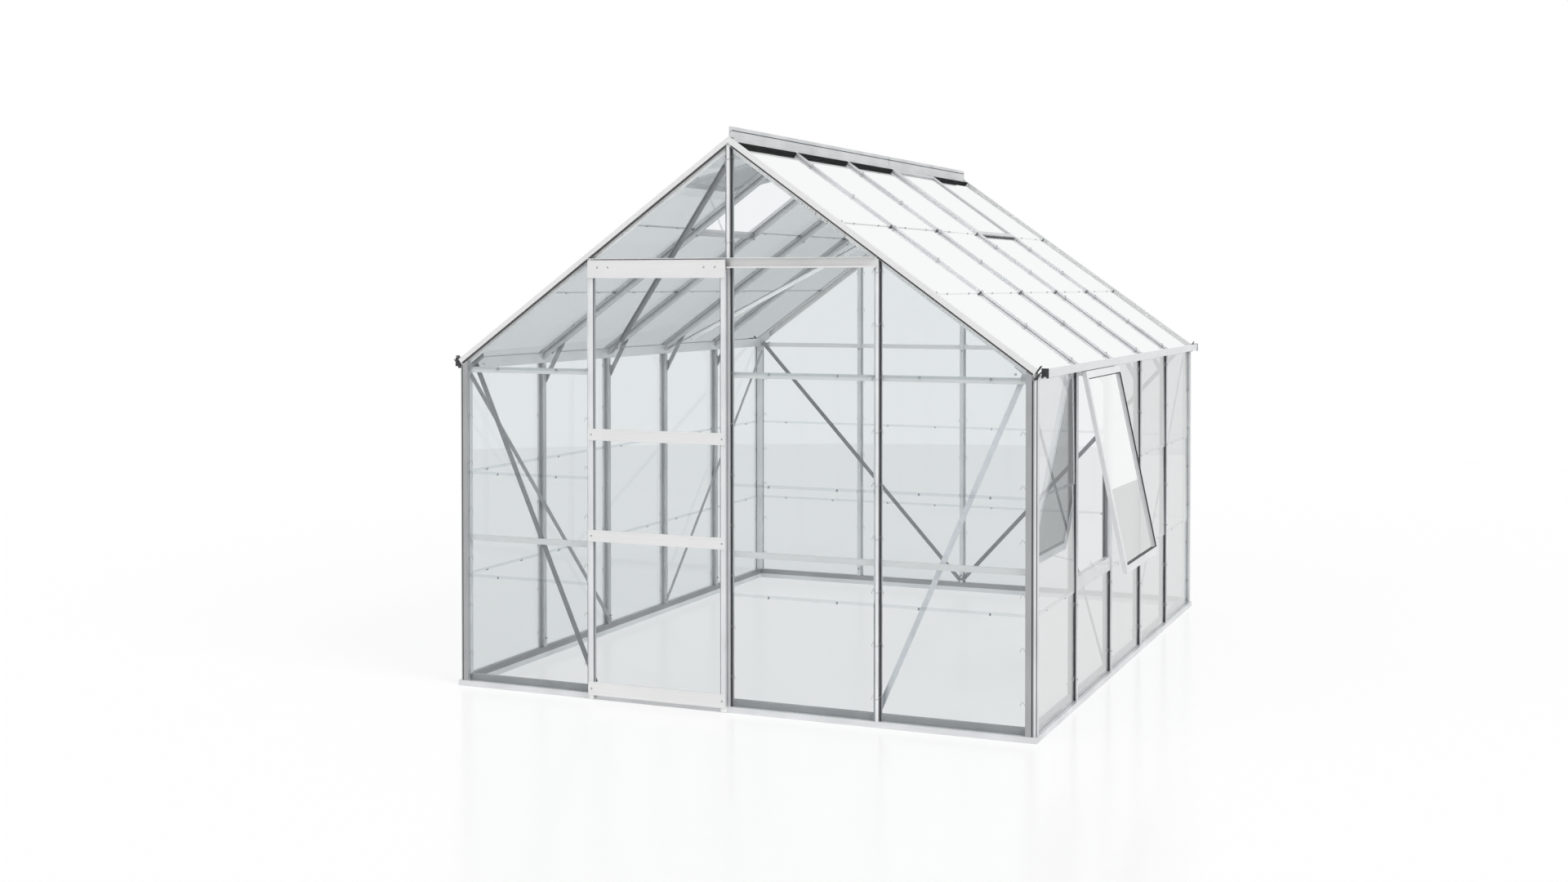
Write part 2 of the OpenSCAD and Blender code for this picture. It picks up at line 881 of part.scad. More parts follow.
// Stay of the open left vent and folded stay of the closed right vent
module vent_stays() {
    stay_w = 12;
    stay_t = 3;
    reach = vent_l - vent_rail / 2;
    under = hinge_n - 0.5;
    tip = [hinge_s + reach * cos(left_vent_open) + under * sin(left_vent_open),
           hinge_n + reach * sin(left_vent_open) - under * cos(left_vent_open)];
    foot = [vent_sill_s, 0.9];
    d = tip - foot;
    color("lightgray") {
        on_left() on_slope() translate([foot.x, bay_mid(left_vent_bay) - stay_w / 2, foot.y])
            rotate([0, -atan2(d.y, d.x), 0])
                cube([norm(d) - 0.8, stay_w, stay_t]);
        on_slope() translate([vent_sill_s - 160, bay_mid(right_vent_bay) - stay_w / 2,
                              -flange_t - 11 - stay_t])
            cube([160 + cross_w / 2, stay_w, stay_t]);
    }
}

// ---------- door and its track ----------

track_l = front_bar_x;
track_t = 2.5;
track_y = front_seat - rib_h - touch;
shelf_y = track_y - 16;
plate_y = shelf_y - door_clear;
door_y = plate_y - plate_t;
hood_z = door_top + 5;
shelf_z = door_top - 34;
roller_z = shelf_z + track_t + roller_r + 0.3;
door_x = -touch - door_w;

module track_shape() {
    translate([track_y - track_t, shelf_z]) square([track_t, hood_z - shelf_z]);
    translate([door_y - 2, hood_z]) square([track_y - door_y + 2, track_t]);
    translate([shelf_y, shelf_z]) square([track_y - shelf_y, track_t]);
    translate([shelf_y, shelf_z]) square([track_t, track_t + 4]);
}

module door_track() {
    color("gainsboro") along_x(-track_l, track_l) track_shape();
}

module on_door() {
    translate([door_x + door_open, 0, 0]) children();
}

stile_y = plate_y;
stile_top = shelf_z - door_clear;
stile_inset = 2;
stile_xs = [stile_inset, door_w - stile_w - stile_inset];
tongue_x = stile_inset + stile_w;
tongue_l = door_w - 2 * tongue_x;

module door_stiles() {
    color("silver") on_door() for (x = stile_xs)
        translate([x, stile_y, door_gap + 2])
            cube([stile_w, stile_d, stile_top - door_gap - 2]);
}

// A plate on the door's face with a tongue between the stiles
module door_rail(z0, h, tongue_z, tongue_h) {
    translate([0, door_y, z0]) cube([door_w, plate_t, h]);
    translate([tongue_x, plate_y - 1, tongue_z]) cube([tongue_l, stile_d - 1, tongue_h]);
}

tongue_h = 20;

module door_rails() {
    color("gainsboro") on_door() {
        door_rail(door_top - head_h, head_h, stile_top - tongue_h, tongue_h);
        for (z = [mid_low, mid_high])
            door_rail(z - mid_h / 2, mid_h, z - tongue_h / 2, tongue_h);
        door_rail(door_gap, kick_h, door_gap + kick_h - tongue_h - 6, tongue_h);
    }
}

module door_glass() {
    levels = [[door_gap + kick_h - 6, mid_low - tongue_h / 2],
              [mid_low + tongue_h / 2, mid_high - tongue_h / 2],
              [mid_high + tongue_h / 2, stile_top - tongue_h]];
    color("lightcyan", 0.4) on_door() for (l = levels)
        translate([tongue_x + touch, stile_y + 4, l[0] + touch])
            cube([tongue_l - 2 * touch, glass_t, l[1] - l[0] - 2 * touch]);
}

// Rollers run on the track's shelf, on axles fixed in the head plate
module door_rollers() {
    roller_t = 7;
    axle_r = 3;
    wheel_y = shelf_y + track_t + 2;
    color("white") on_door() for (x = [70, door_w - 70])
        translate([x, plate_y, roller_z]) rotate([-90, 0, 0]) {
            cylinder(r = axle_r, h = wheel_y - plate_y + roller_t);
            translate([0, 0, wheel_y - plate_y])
                cylinder(r = roller_r, h = roller_t);
        }
}

// Guide shoes under the door's stiles that run along the front sill's lip
module door_guides() {
    lip_y = front_out - lip_out;
    color("white") on_door() for (x = stile_xs)
        translate([x, stile_y, 6])
            cube([stile_w, lip_y - 0.7 - stile_y, door_gap - 4]);
}

// ---------- nodes ----------

front_sill();
rear_sill();
left_sill();
right_sill();
front_left_post();
front_right_post();
rear_left_post();
rear_right_post();
front_gable_bars();
rear_gable_bars();
left_wall_bars();
right_wall_bars();
front_rafters();
rear_rafters();
left_roof_bars();
right_roof_bars();
ridge();
left_gutter();
right_gutter();
gutter_end_caps();
gable_rails();
gable_braces();
wall_braces();
roof_braces();
knee_braces();
corner_plates();
front_glass();
rear_glass();
left_wall_glass();
right_wall_glass();
left_roof_glass();
right_roof_glass();
side_window_frame();
side_window_glass();
side_window_rails();
side_window_stay();
left_vent_frame();
left_vent_glass();
right_vent_frame();
right_vent_glass();
vent_sills();
vent_stays();
door_track();
door_stiles();
door_rails();
door_glass();
door_rollers();
door_guides();
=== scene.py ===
"""Looks of a glass greenhouse with a sliding door, one side window and two roof vents."""

import math

import bmesh
import bpy
import numpy as np
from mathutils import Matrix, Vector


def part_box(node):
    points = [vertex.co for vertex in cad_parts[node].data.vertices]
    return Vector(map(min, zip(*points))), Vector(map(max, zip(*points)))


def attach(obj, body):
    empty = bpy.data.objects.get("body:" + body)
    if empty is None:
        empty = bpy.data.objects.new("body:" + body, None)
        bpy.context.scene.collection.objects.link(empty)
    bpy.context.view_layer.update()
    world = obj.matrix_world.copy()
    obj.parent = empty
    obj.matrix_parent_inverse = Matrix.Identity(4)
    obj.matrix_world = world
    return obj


bl_info = {
    "name": "Greenhouse Looks",
    "version": (1, 0, 0),
    "blender": (4, 5, 0),
    "location": "View3D > Sidebar > Greenhouse",
    "description": "Glazing seals, clips, bolts, fittings and finishes of a glass greenhouse",
    "category": "Object",
}

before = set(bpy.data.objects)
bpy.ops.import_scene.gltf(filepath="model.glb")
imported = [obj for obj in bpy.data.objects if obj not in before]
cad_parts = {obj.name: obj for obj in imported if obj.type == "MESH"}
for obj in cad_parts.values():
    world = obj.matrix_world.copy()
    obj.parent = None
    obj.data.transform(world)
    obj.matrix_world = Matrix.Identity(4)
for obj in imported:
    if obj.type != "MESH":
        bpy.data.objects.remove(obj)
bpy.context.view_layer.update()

# ---------------------------------------------------------------- places from the frame

POST_LOW, POST_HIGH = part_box("front_right_post")
REAR_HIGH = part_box("rear_right_post")[1]
DOOR_LOW, DOOR_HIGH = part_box("door_rails")
GUTTER_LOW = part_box("right_gutter")[0]
WALL_BAR_LOW, WALL_BAR_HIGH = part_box("right_wall_bars")

PITCH = math.radians(35.6)
SLOPE_C, SLOPE_S = math.cos(PITCH), math.sin(PITCH)
RIB_W, RIB_H, SEAT_IN = 0.012, 0.015, 0.016
HALF_W = POST_HIGH.x
SIDE_SEAT = HALF_W - SEAT_IN
FRONT_OUT = POST_LOW.y
REAR_OUT = REAR_HIGH.y
FRONT_SEAT = FRONT_OUT + SEAT_IN
REAR_SEAT = REAR_OUT - SEAT_IN
BAR_D = 0.026
SILL_TOP = POST_LOW.z
SEAT_PEAK = 1.413 + HALF_W * math.tan(PITCH) - RIB_H / SLOPE_C
PITCH_Y = (WALL_BAR_HIGH.y - WALL_BAR_LOW.y - 0.036) / 3
BAR_YS = [WALL_BAR_LOW.y + 0.018 + i * PITCH_Y for i in range(4)]
BAY_LINES = [FRONT_OUT + 0.030] + BAR_YS + [REAR_OUT - 0.030]
FRONT_XS = [-0.640, 0.0, 0.640]
REAR_XS = [-0.620, 0.0, 0.620]
SLOPE_END = (HALF_W + 0.014 * SLOPE_S) / SLOPE_C
WALL_TOP = GUTTER_LOW.z + 0.012
LAPS = (0.472, 0.917)
ROOF_LAPS = (0.575, 1.060)
SILL_LIP_Z = 0.024
WINDOW_BAY, LEFT_VENT_BAY, RIGHT_VENT_BAY = 1, 1, 3
WINDOW_OPEN = math.radians(12)
VENT_OPEN = math.radians(23)
WINDOW_HINGE = (HALF_W + 0.012, GUTTER_LOW.z + 0.006)
VENT_SILL = 0.580


def wall_plane(origin, across, up, out):
    """A plane as four rows: a point on the glass seat, the way across, the way up and the way out."""
    return np.array([origin, across, up, out], float)


PLANES = {
    "front": wall_plane((0, FRONT_SEAT, 0), (1, 0, 0), (0, 0, 1), (0, -1, 0)),
    "rear": wall_plane((0, REAR_SEAT, 0), (1, 0, 0), (0, 0, 1), (0, 1, 0)),
    "right": wall_plane((SIDE_SEAT, 0, 0), (0, 1, 0), (0, 0, 1), (1, 0, 0)),
    "left": wall_plane((-SIDE_SEAT, 0, 0), (0, 1, 0), (0, 0, 1), (-1, 0, 0)),
    "right_roof": wall_plane((0, 0, SEAT_PEAK), (0, 1, 0), (SLOPE_C, 0, -SLOPE_S), (SLOPE_S, 0, SLOPE_C)),
    "left_roof": wall_plane((0, 0, SEAT_PEAK), (0, 1, 0), (-SLOPE_C, 0, -SLOPE_S), (-SLOPE_S, 0, SLOPE_C)),
}


def roof_height(x, n=0.0):
    """Height of the roof plane that lies n out from the glass seat, over x."""
    return SEAT_PEAK - abs(x) * SLOPE_S / SLOPE_C + n / SLOPE_C


# ---------------------------------------------------------------- surfaces

def on_plane(points, plane):
    """Points given as across, up and out, moved to the plane: origin + a * across + u * up + n * out."""
    return plane[0] + np.asarray(points, float) @ plane[1:]


def tube_faces(rings, around, closed=False):
    """Quads between neighbouring rings of a tube, with the index of ring i and place j as i * around + j."""
    i, j = np.meshgrid(np.arange(rings - (0 if closed else 1)), np.arange(around), indexing="ij")
    k = (i + 1) % rings
    nxt = (j + 1) % around
    return np.stack([i * around + j, i * around + nxt, k * around + nxt, k * around + j], -1).reshape(-1, 4)


def sweep(path, profile, side):
    """A closed profile carried along a path. At each point the profile's first axis is side made square to
    the path's direction, and its second axis is the direction crossed with the first."""
    path = np.asarray(path, float)
    profile = np.asarray(profile, float)
    along = np.gradient(path, axis=0)
    along /= np.linalg.norm(along, axis=1, keepdims=True)
    side = np.broadcast_to(np.asarray(side, float), path.shape)
    first = side - (side * along).sum(1, keepdims=True) * along
    first /= np.linalg.norm(first, axis=1, keepdims=True)
    second = np.cross(along, first)
    verts = (path[:, None] + profile[None, :, :1] * first[:, None] + profile[None, :, 1:] * second[:, None])
    count = len(profile)
    faces = tube_faces(len(path), count).tolist()
    faces += [list(range(count))[::-1], list(range(len(path) * count - count, len(path) * count))]
    return verts.reshape(-1, 3), faces


def revolve(profile, centre, axis, around):
    """A profile of radius and height turned about an axis: centre + height * axis + radius * (cos, sin)."""
    profile = np.asarray(profile, float)
    axis = np.asarray(axis, float) / np.linalg.norm(axis)
    spare = np.array([0.0, 0, 1]) if abs(axis[2]) < 0.9 else np.array([1.0, 0, 0])
    e0 = np.cross(axis, spare)
    e0 /= np.linalg.norm(e0)
    e1 = np.cross(axis, e0)
    t = np.arange(around) * 2 * math.pi / around
    ring = np.cos(t)[:, None] * e0 + np.sin(t)[:, None] * e1
    verts = (np.asarray(centre, float) + profile[:, None, 1:] * axis + profile[:, None, :1] * ring[None])
    count = len(profile)
    faces = tube_faces(count, around).tolist()
    faces += [list(range(around))[::-1], list(range((count - 1) * around, count * around))]
    return verts.reshape(-1, 3), faces


def copies(shape, places):
    """One shape repeated at each place, which is a point and a basis: point + shape @ basis."""
    verts, faces = shape
    all_verts, all_faces = [], []
    for n, (point, basis) in enumerate(places):
        all_verts.append(np.asarray(point) + verts @ np.asarray(basis))
        all_faces += [[v + n * len(verts) for v in f] for f in faces]
    return np.concatenate(all_verts), all_faces


def joined(shapes):
    """Several shapes as one list of vertices and faces."""
    verts, faces, start = [], [], 0
    for v, f in shapes:
        verts.append(v)
        faces += [[i + start for i in face] for face in f]
        start += len(v)
    return np.concatenate(verts), faces


def new_piece(name, shape, material, body="house", bevel=0.0, smooth=False):
    """A mesh object from a shape, with outward normals, its finish and the body that it rides on."""
    verts, faces = shape
    mesh = bpy.data.meshes.new(name)
    mesh.from_pydata(verts.tolist(), [], faces)
    bm = bmesh.new()
    bm.from_mesh(mesh)
    bmesh.ops.recalc_face_normals(bm, faces=bm.faces)
    bm.to_mesh(mesh)
    bm.free()
    if smooth:
        mesh.polygons.foreach_set("use_smooth", [True] * len(mesh.polygons))
    mesh.materials.append(material)
    piece = bpy.data.objects.new(name, mesh)
    bpy.context.scene.collection.objects.link(piece)
    if bevel:
        mod = piece.modifiers.new("edges", "BEVEL")
        mod.width = bevel
        mod.segments = 2
    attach(piece, body)
    return piece


def rounded(a0, a1, b0, b1, r, steps=3):
    """A rectangle's outline with its four corners rounded by radius r."""
    turn = np.linspace(0, math.pi / 2, steps)
    corners = [(a1 - r, b1 - r, 0), (a0 + r, b1 - r, 1), (a0 + r, b0 + r, 2), (a1 - r, b0 + r, 3)]
    return np.concatenate([
        np.stack([x + r * np.cos(turn + q * math.pi / 2), y + r * np.sin(turn + q * math.pi / 2)], -1)
        for x, y, q in corners])


def bar_box(a0, a1, b0, b1, start, end, side, r=0.0004):
    """A straight bar with a rounded rectangle as its section, from start to end."""
    return sweep([start, end], rounded(a0, a1, b0, b1, r), side)


# ---------------------------------------------------------------- materials

def group(name, inputs, outputs):
    """An empty shader node group with its sockets, and the two nodes that hold them."""
    tree = bpy.data.node_groups.new(name, "ShaderNodeTree")
    for label, kind, value in inputs:
        socket = tree.interface.new_socket(label, in_out="INPUT", socket_type=kind)
        if value is not None:
            socket.default_value = value
    for label, kind in outputs:
        tree.interface.new_socket(label, in_out="OUTPUT", socket_type=kind)
    return tree, tree.nodes.new("NodeGroupInput"), tree.nodes.new("NodeGroupOutput")


def feed(tree, node, inputs):
    """Gives each named input of a node its value, or the socket that feeds it."""
    for label, value in inputs.items():
        if isinstance(value, bpy.types.NodeSocket):
            tree.links.new(value, node.inputs[label])
        else:
            node.inputs[label].default_value = value
    return node


def add(tree, kind, inputs=None, **settings):
    """A new node with its settings and its inputs."""
    node = tree.nodes.new(kind)
    for label, value in settings.items():
        setattr(node, label, value)
    return feed(tree, node, inputs or {})


def maths(tree, operation, a, b=0.0):
    """The output of a Math node on two sockets or numbers."""
    return add(tree, "ShaderNodeMath", {0: a, 1: b}, operation=operation).outputs[0]


def mixed(tree, factor, a, b):
    """The colour that lies between two colours by factor."""
    return add(tree, "ShaderNodeMix", {"Factor": factor, "A": a, "B": b}, data_type="RGBA").outputs["Result"]


def dot(tree, a, b):
    """The dot product of two vectors."""
    return add(tree, "ShaderNodeVectorMath", {0: a, 1: b}, operation="DOT_PRODUCT").outputs["Value"]


def facing(tree, square):
    """How far a face looks along square: one on the wide face that square leaves, minus one on the other."""
    return dot(tree, add(tree, "ShaderNodeTexCoord").outputs["Normal"], square)


def grain_and_painted_shade_group():
    """Fine lines drawn along a metal bar: noise squeezed across the bar and stretched along it, with a
    second, broad noise for the dull and bright patches that handling leaves. What lies less than Depth
    along Axis, such as a bar's inner half behind the glass, has its colour multiplied by Dull: this is
    painted shade, not a duller finish."""
    tree, start, end = group(
        "drawn_metal_grain_and_painted_shade",
        [("Stretch", "NodeSocketVector", (900, 900, 12)), ("Light", "NodeSocketColor", (0.8, 0.8, 0.8, 1)),
         ("Dark", "NodeSocketColor", (0.6, 0.6, 0.6, 1)), ("Smooth", "NodeSocketFloat", 0.28),
         ("Rough", "NodeSocketFloat", 0.5), ("Axis", "NodeSocketVector", (0, 0, 0)),
         ("Depth", "NodeSocketFloat", -1.0), ("Dull", "NodeSocketFloat", 0.55)],
        [("Color", "NodeSocketColor"), ("Roughness", "NodeSocketFloat"), ("Height", "NodeSocketFloat")])
    given = start.outputs
    place = add(tree, "ShaderNodeTexCoord").outputs["Object"]
    scale = add(tree, "ShaderNodeVectorMath", {0: place, 1: given["Stretch"]}, operation="MULTIPLY")
    lines = add(tree, "ShaderNodeTexNoise", {"Scale": 1.0, "Detail": 4.0, "Vector": scale.outputs[0]})
    broad = add(tree, "ShaderNodeTexNoise", {"Scale": 5.0, "Detail": 3.0, "Vector": place})
    both = add(tree, "ShaderNodeMix", {"Factor": 0.45, "A": lines.outputs["Fac"], "B": broad.outputs["Fac"]})
    tone = add(tree, "ShaderNodeMapRange",
               {"From Min": 0.3, "From Max": 0.7, "Value": both.outputs["Result"]}).outputs["Result"]
    colour = mixed(tree, tone, given["Dark"], given["Light"])
    # Painted shade: what lies less than Depth along Axis is darkened by Dull.
    behind = maths(tree, "LESS_THAN", dot(tree, place, given["Axis"]), given["Depth"])
    painted_shade_colour = add(tree, "ShaderNodeVectorMath", {0: colour, "Scale": given["Dull"]}, operation="SCALE")
    rough = add(tree, "ShaderNodeMix", {"Factor": tone, "A": given["Rough"], "B": given["Smooth"]})
    feed(tree, end, {"Color": mixed(tree, behind, colour, painted_shade_colour.outputs[0]),
                     "Roughness": rough.outputs["Result"], "Height": lines.outputs["Fac"]})
    return tree


def speckle_group():
    """Moulded plastic or rubber: two tones mixed by a fine noise, whose value is also the bump's height."""
    tree, start, end = group(
        "moulded_speckle",
        [("Scale", "NodeSocketFloat", 220.0), ("Light", "NodeSocketColor", (0.1, 0.1, 0.1, 1)),
         ("Dark", "NodeSocketColor", (0.02, 0.02, 0.02, 1))],
        [("Color", "NodeSocketColor"), ("Height", "NodeSocketFloat")])
    place = add(tree, "ShaderNodeTexCoord").outputs["Object"]
    noise = add(tree, "ShaderNodeTexNoise",
                {"Detail": 3.0, "Vector": place, "Scale": start.outputs["Scale"]}).outputs["Fac"]
    feed(tree, end, {"Color": mixed(tree, noise, start.outputs["Dark"], start.outputs["Light"]),
                     "Height": noise})
    return tree


WIDE_FACE = 0.7


def pane_edge_group():
    """A pane's colour: Clear on its two wide faces and Edge on its cut edges, told apart by how far the
    face's own normal turns away from Square."""
    tree, start, end = group(
        "pane_edges",
        [("Square", "NodeSocketVector", (0, 1, 0)), ("Clear", "NodeSocketColor", (0.95, 0.97, 0.97, 1)),
         ("Edge", "NodeSocketColor", (0.3, 0.5, 0.45, 1))],
        [("Color", "NodeSocketColor")])
    looks = facing(tree, start.outputs["Square"])
    cut = maths(tree, "LESS_THAN", maths(tree, "ABSOLUTE", looks), WIDE_FACE)
    feed(tree, end, {"Color": mixed(tree, cut, start.outputs["Clear"], start.outputs["Edge"])})
    return tree


def material(name):
    """A new material, its node tree and its shader."""
    made = bpy.data.materials.new(name)
    made.use_nodes = True
    return made, made.node_tree, made.node_tree.nodes["Principled BSDF"]


def placed(tree, held, **values):
    """A node that holds a group, with the values of its inputs."""
    return add(tree, "ShaderNodeGroup", values, node_tree=held)


def bump(tree, height, shader, strength, distance):
    """A bump from height into the shader's normal."""
    node = add(tree, "ShaderNodeBump", {"Strength": strength, "Distance": distance, "Height": height})
    feed(tree, shader, {"Normal": node.outputs["Normal"]})


def metal(name, light, dark, stretch, smooth=0.28, rough=0.48, metallic=0.55, axis=(0, 0, 0), depth=-1.0,
          dull=1.0):
    """Drawn or rolled metal with its grain along one way. What lies less than depth along axis gets painted
    shade: its colour is multiplied by dull.
    """
    made, tree, shader = material(name)
    grain = placed(tree, GROUPS["grain"], Stretch=stretch, Light=(*light, 1), Dark=(*dark, 1),
                   Smooth=smooth, Rough=rough, Axis=axis, Depth=depth, Dull=dull).outputs
    feed(tree, shader, {"Base Color": grain["Color"], "Roughness": grain["Roughness"], "Metallic": metallic})
    bump(tree, grain["Height"], shader, 0.12, 0.0003)
    return made


def moulded(name, light, dark, roughness, scale=260.0, depth=0.0002, shine=0.5):
    """Moulded plastic or rubber."""
    made, tree, shader = material(name)
    speckle = placed(tree, GROUPS["speckle"], Scale=scale, Light=(*light, 1), Dark=(*dark, 1)).outputs
    feed(tree, shader, {"Base Color": speckle["Color"], "Roughness": roughness, "Specular IOR Level": shine})
    bump(tree, speckle["Height"], shader, 0.3, depth)
    return made


def blended(tree, share, first, second):
    """Two shaders mixed by share."""
    return add(tree, "ShaderNodeMixShader", {0: share, 1: first, 2: second}).outputs[0]


def see_through(tree, *tone):
    """A shader that lets rays pass straight on, weakened to tone."""
    return add(tree, "ShaderNodeBsdfTransparent", {"Color": (*tone, 1)}).outputs[0]


def at_low_angle(tree, angle, most):
    """Nought where a pane is seen square on, rising to most where it is seen at a low angle."""
    return add(tree, "ShaderNodeMapRange", {"From Min": 0.5, "From Max": 0.8, "To Max": most,
                                            "Value": angle}).outputs["Result"]


def show(tree, shader):
    """Makes a shader what the material shows."""
    feed(tree, tree.nodes["Material Output"], {"Surface": shader})


def mirrored_only(tree, path):
    """One for rays that come off a gloss and nought for those that passed through glass."""
    return maths(tree, "MULTIPLY", path["Is Glossy Ray"],
                 maths(tree, "SUBTRACT", 1.0, path["Is Transmission Ray"]))


def pane_glass(name, square, clear, edge, shine, ior=1.22, cut_shine=0.0, painted_mirror_shade=None, low=None):
    """Clear float glass with green cut edges, which mirrors its surroundings where it is seen at a low
    angle. Lamps and soft light pass it, a little weakened, so that they reach what stands behind it. Its cut
    edges mirror by cut_shine. What another pane mirrors through it can be darkened at each face to a given
    tone, a painted shade on that reflection. Low is the tone at each face of what is seen through it at a low
    angle, where the way through is longer."""
    made, tree, shader = material(name)
    edges = placed(tree, GROUPS["edges"], Square=square, Clear=(*clear, 1), Edge=(*edge, 1))
    feed(tree, shader, {"Base Color": edges.outputs["Color"], "Roughness": 0.0, "IOR": ior,
                        "Transmission Weight": 1.0})
    angle = add(tree, "ShaderNodeLayerWeight", {"Blend": 0.5}).outputs["Facing"]
    looks = facing(tree, square)
    outer = maths(tree, "GREATER_THAN", looks, WIDE_FACE)
    share = maths(tree, "MULTIPLY", at_low_angle(tree, angle, shine), outer)
    if cut_shine:
        cut = maths(tree, "LESS_THAN", maths(tree, "ABSOLUTE", looks), WIDE_FACE)
        share = maths(tree, "ADD", share, maths(tree, "MULTIPLY", cut, cut_shine))
    through = shader.outputs[0]
    if low:
        deep = see_through(tree, low, 1.02 * low, 1.03 * low)
        through = blended(tree, at_low_angle(tree, angle, 1.0), through, deep)
    mirror = add(tree, "ShaderNodeBsdfGlossy", {"Color": (0.96, 0.97, 0.97, 1), "Roughness": 0.0})
    shining = blended(tree, share, through, mirror.outputs[0])
    path = add(tree, "ShaderNodeLightPath").outputs
    light = maths(tree, "MAXIMUM", path["Is Shadow Ray"], path["Is Diffuse Ray"])
    seen = blended(tree, light, shining, see_through(tree, 0.90, 0.91, 0.91))
    # Painted shade: rays mirrored off other panes see this pane darkened.
    if painted_mirror_shade:
        dim = see_through(tree, painted_mirror_shade, 1.01 * painted_mirror_shade, 1.01 * painted_mirror_shade)
        seen = blended(tree, mirrored_only(tree, path), seen, dim)
    show(tree, seen)
    return made


GROUPS = {}
LOOKS = {}


# ---------------------------------------------------------------- sizes and colours

class GREENHOUSE_PG_sizes(bpy.types.PropertyGroup):
    """Sizes of the small fittings."""
    seal_w: bpy.props.FloatProperty(
        name="Seal width", description="Width of a glazing seal beside a rib",
        default=0.0036, min=0.002, max=0.008, subtype="DISTANCE", unit="LENGTH")
    seal_h: bpy.props.FloatProperty(
        name="Seal height", description="Height of a glazing seal above the glass seat",
        default=0.0026, min=0.0015, max=0.012, subtype="DISTANCE", unit="LENGTH")
    wire_d: bpy.props.FloatProperty(
        name="Clip wire", description="Diameter of the spring clips' wire",
        default=0.0018, min=0.001, max=0.003, subtype="DISTANCE", unit="LENGTH")
    clip_pitch: bpy.props.FloatProperty(
        name="Clip spacing", description="Distance between spring clips on a bar",
        default=0.205, min=0.1, max=0.4, subtype="DISTANCE", unit="LENGTH")
    lap_clip_w: bpy.props.FloatProperty(
        name="Lap clip width", description="Width of a clip at a lap of two panes",
        default=0.007, min=0.004, max=0.02, subtype="DISTANCE", unit="LENGTH")
    bolt_r: bpy.props.FloatProperty(
        name="Bolt radius", description="Radius of the bolts' nuts",
        default=0.0058, min=0.004, max=0.008, subtype="DISTANCE", unit="LENGTH")


class GREENHOUSE_PG_colours(bpy.types.PropertyGroup):
    """Colours of the finishes."""
    metal_light: bpy.props.FloatVectorProperty(
        name="Aluminium, bright", description="Bright tone of the aluminium",
        default=(0.66, 0.67, 0.68), size=3, min=0, max=1, subtype="COLOR")
    metal_dark: bpy.props.FloatVectorProperty(
        name="Aluminium, dull", description="Dull tone of the aluminium",
        default=(0.48, 0.49, 0.50), size=3, min=0, max=1, subtype="COLOR")
    strip_light: bpy.props.FloatVectorProperty(
        name="Braces, bright", description="Bright tone of the flat braces",
        default=(0.46, 0.47, 0.49), size=3, min=0, max=1, subtype="COLOR")
    glass_clear: bpy.props.FloatVectorProperty(
        name="Glass", description="Tint of the panes",
        default=(0.868, 0.888, 0.895), size=3, min=0, max=1, subtype="COLOR")
    glass_edge: bpy.props.FloatVectorProperty(
        name="Glass edges", description="Tint of the panes' cut edges",
        default=(0.34, 0.44, 0.42), size=3, min=0, max=1, subtype="COLOR")
    rubber: bpy.props.FloatVectorProperty(
        name="Rubber", description="Tone of the seals",
        default=(0.075, 0.075, 0.078), size=3, min=0, max=1, subtype="COLOR")


# ---------------------------------------------------------------- stage

FLOOR_R = 10.8
FAR_FLOOR_R = 70.0
MIRRORED_FLOOR = 0.74
EYE, TURN, TILT = (3.056, -6.569, 1.734), 22.89, 0.99
LENS, SENSOR, SHIFT = 41.1, 36.0, (-0.0065, -0.0801)
BOUNCES = 24
WHITE = (1, 1, 1, 1)


def seen_by_eye_glass_or_metal(tree, path):
    """One for rays from the camera, through glass or off gloss, and nought for light that falls on things."""
    first = maths(tree, "MAXIMUM", path["Is Camera Ray"], path["Is Glossy Ray"])
    return maths(tree, "MAXIMUM", first, path["Is Transmission Ray"])


def disc(name, look, radius, centre_y, height, steps):
    """A flat disc: x = r cos t and y = centre + r sin t. It comes with its material's tree, still empty."""
    t = np.arange(steps) * 2 * math.pi / steps
    ring = np.stack([radius * np.cos(t), radius * np.sin(t) + centre_y, 0 * t + height], -1)
    mesh = bpy.data.meshes.new(name)
    mesh.from_pydata(ring.tolist(), [], [list(range(steps))])
    made, tree, shader = material(look)
    tree.nodes.remove(shader)
    mesh.materials.append(made)
    floor = bpy.data.objects.new(name, mesh)
    bpy.context.scene.collection.objects.link(floor)
    return floor, tree


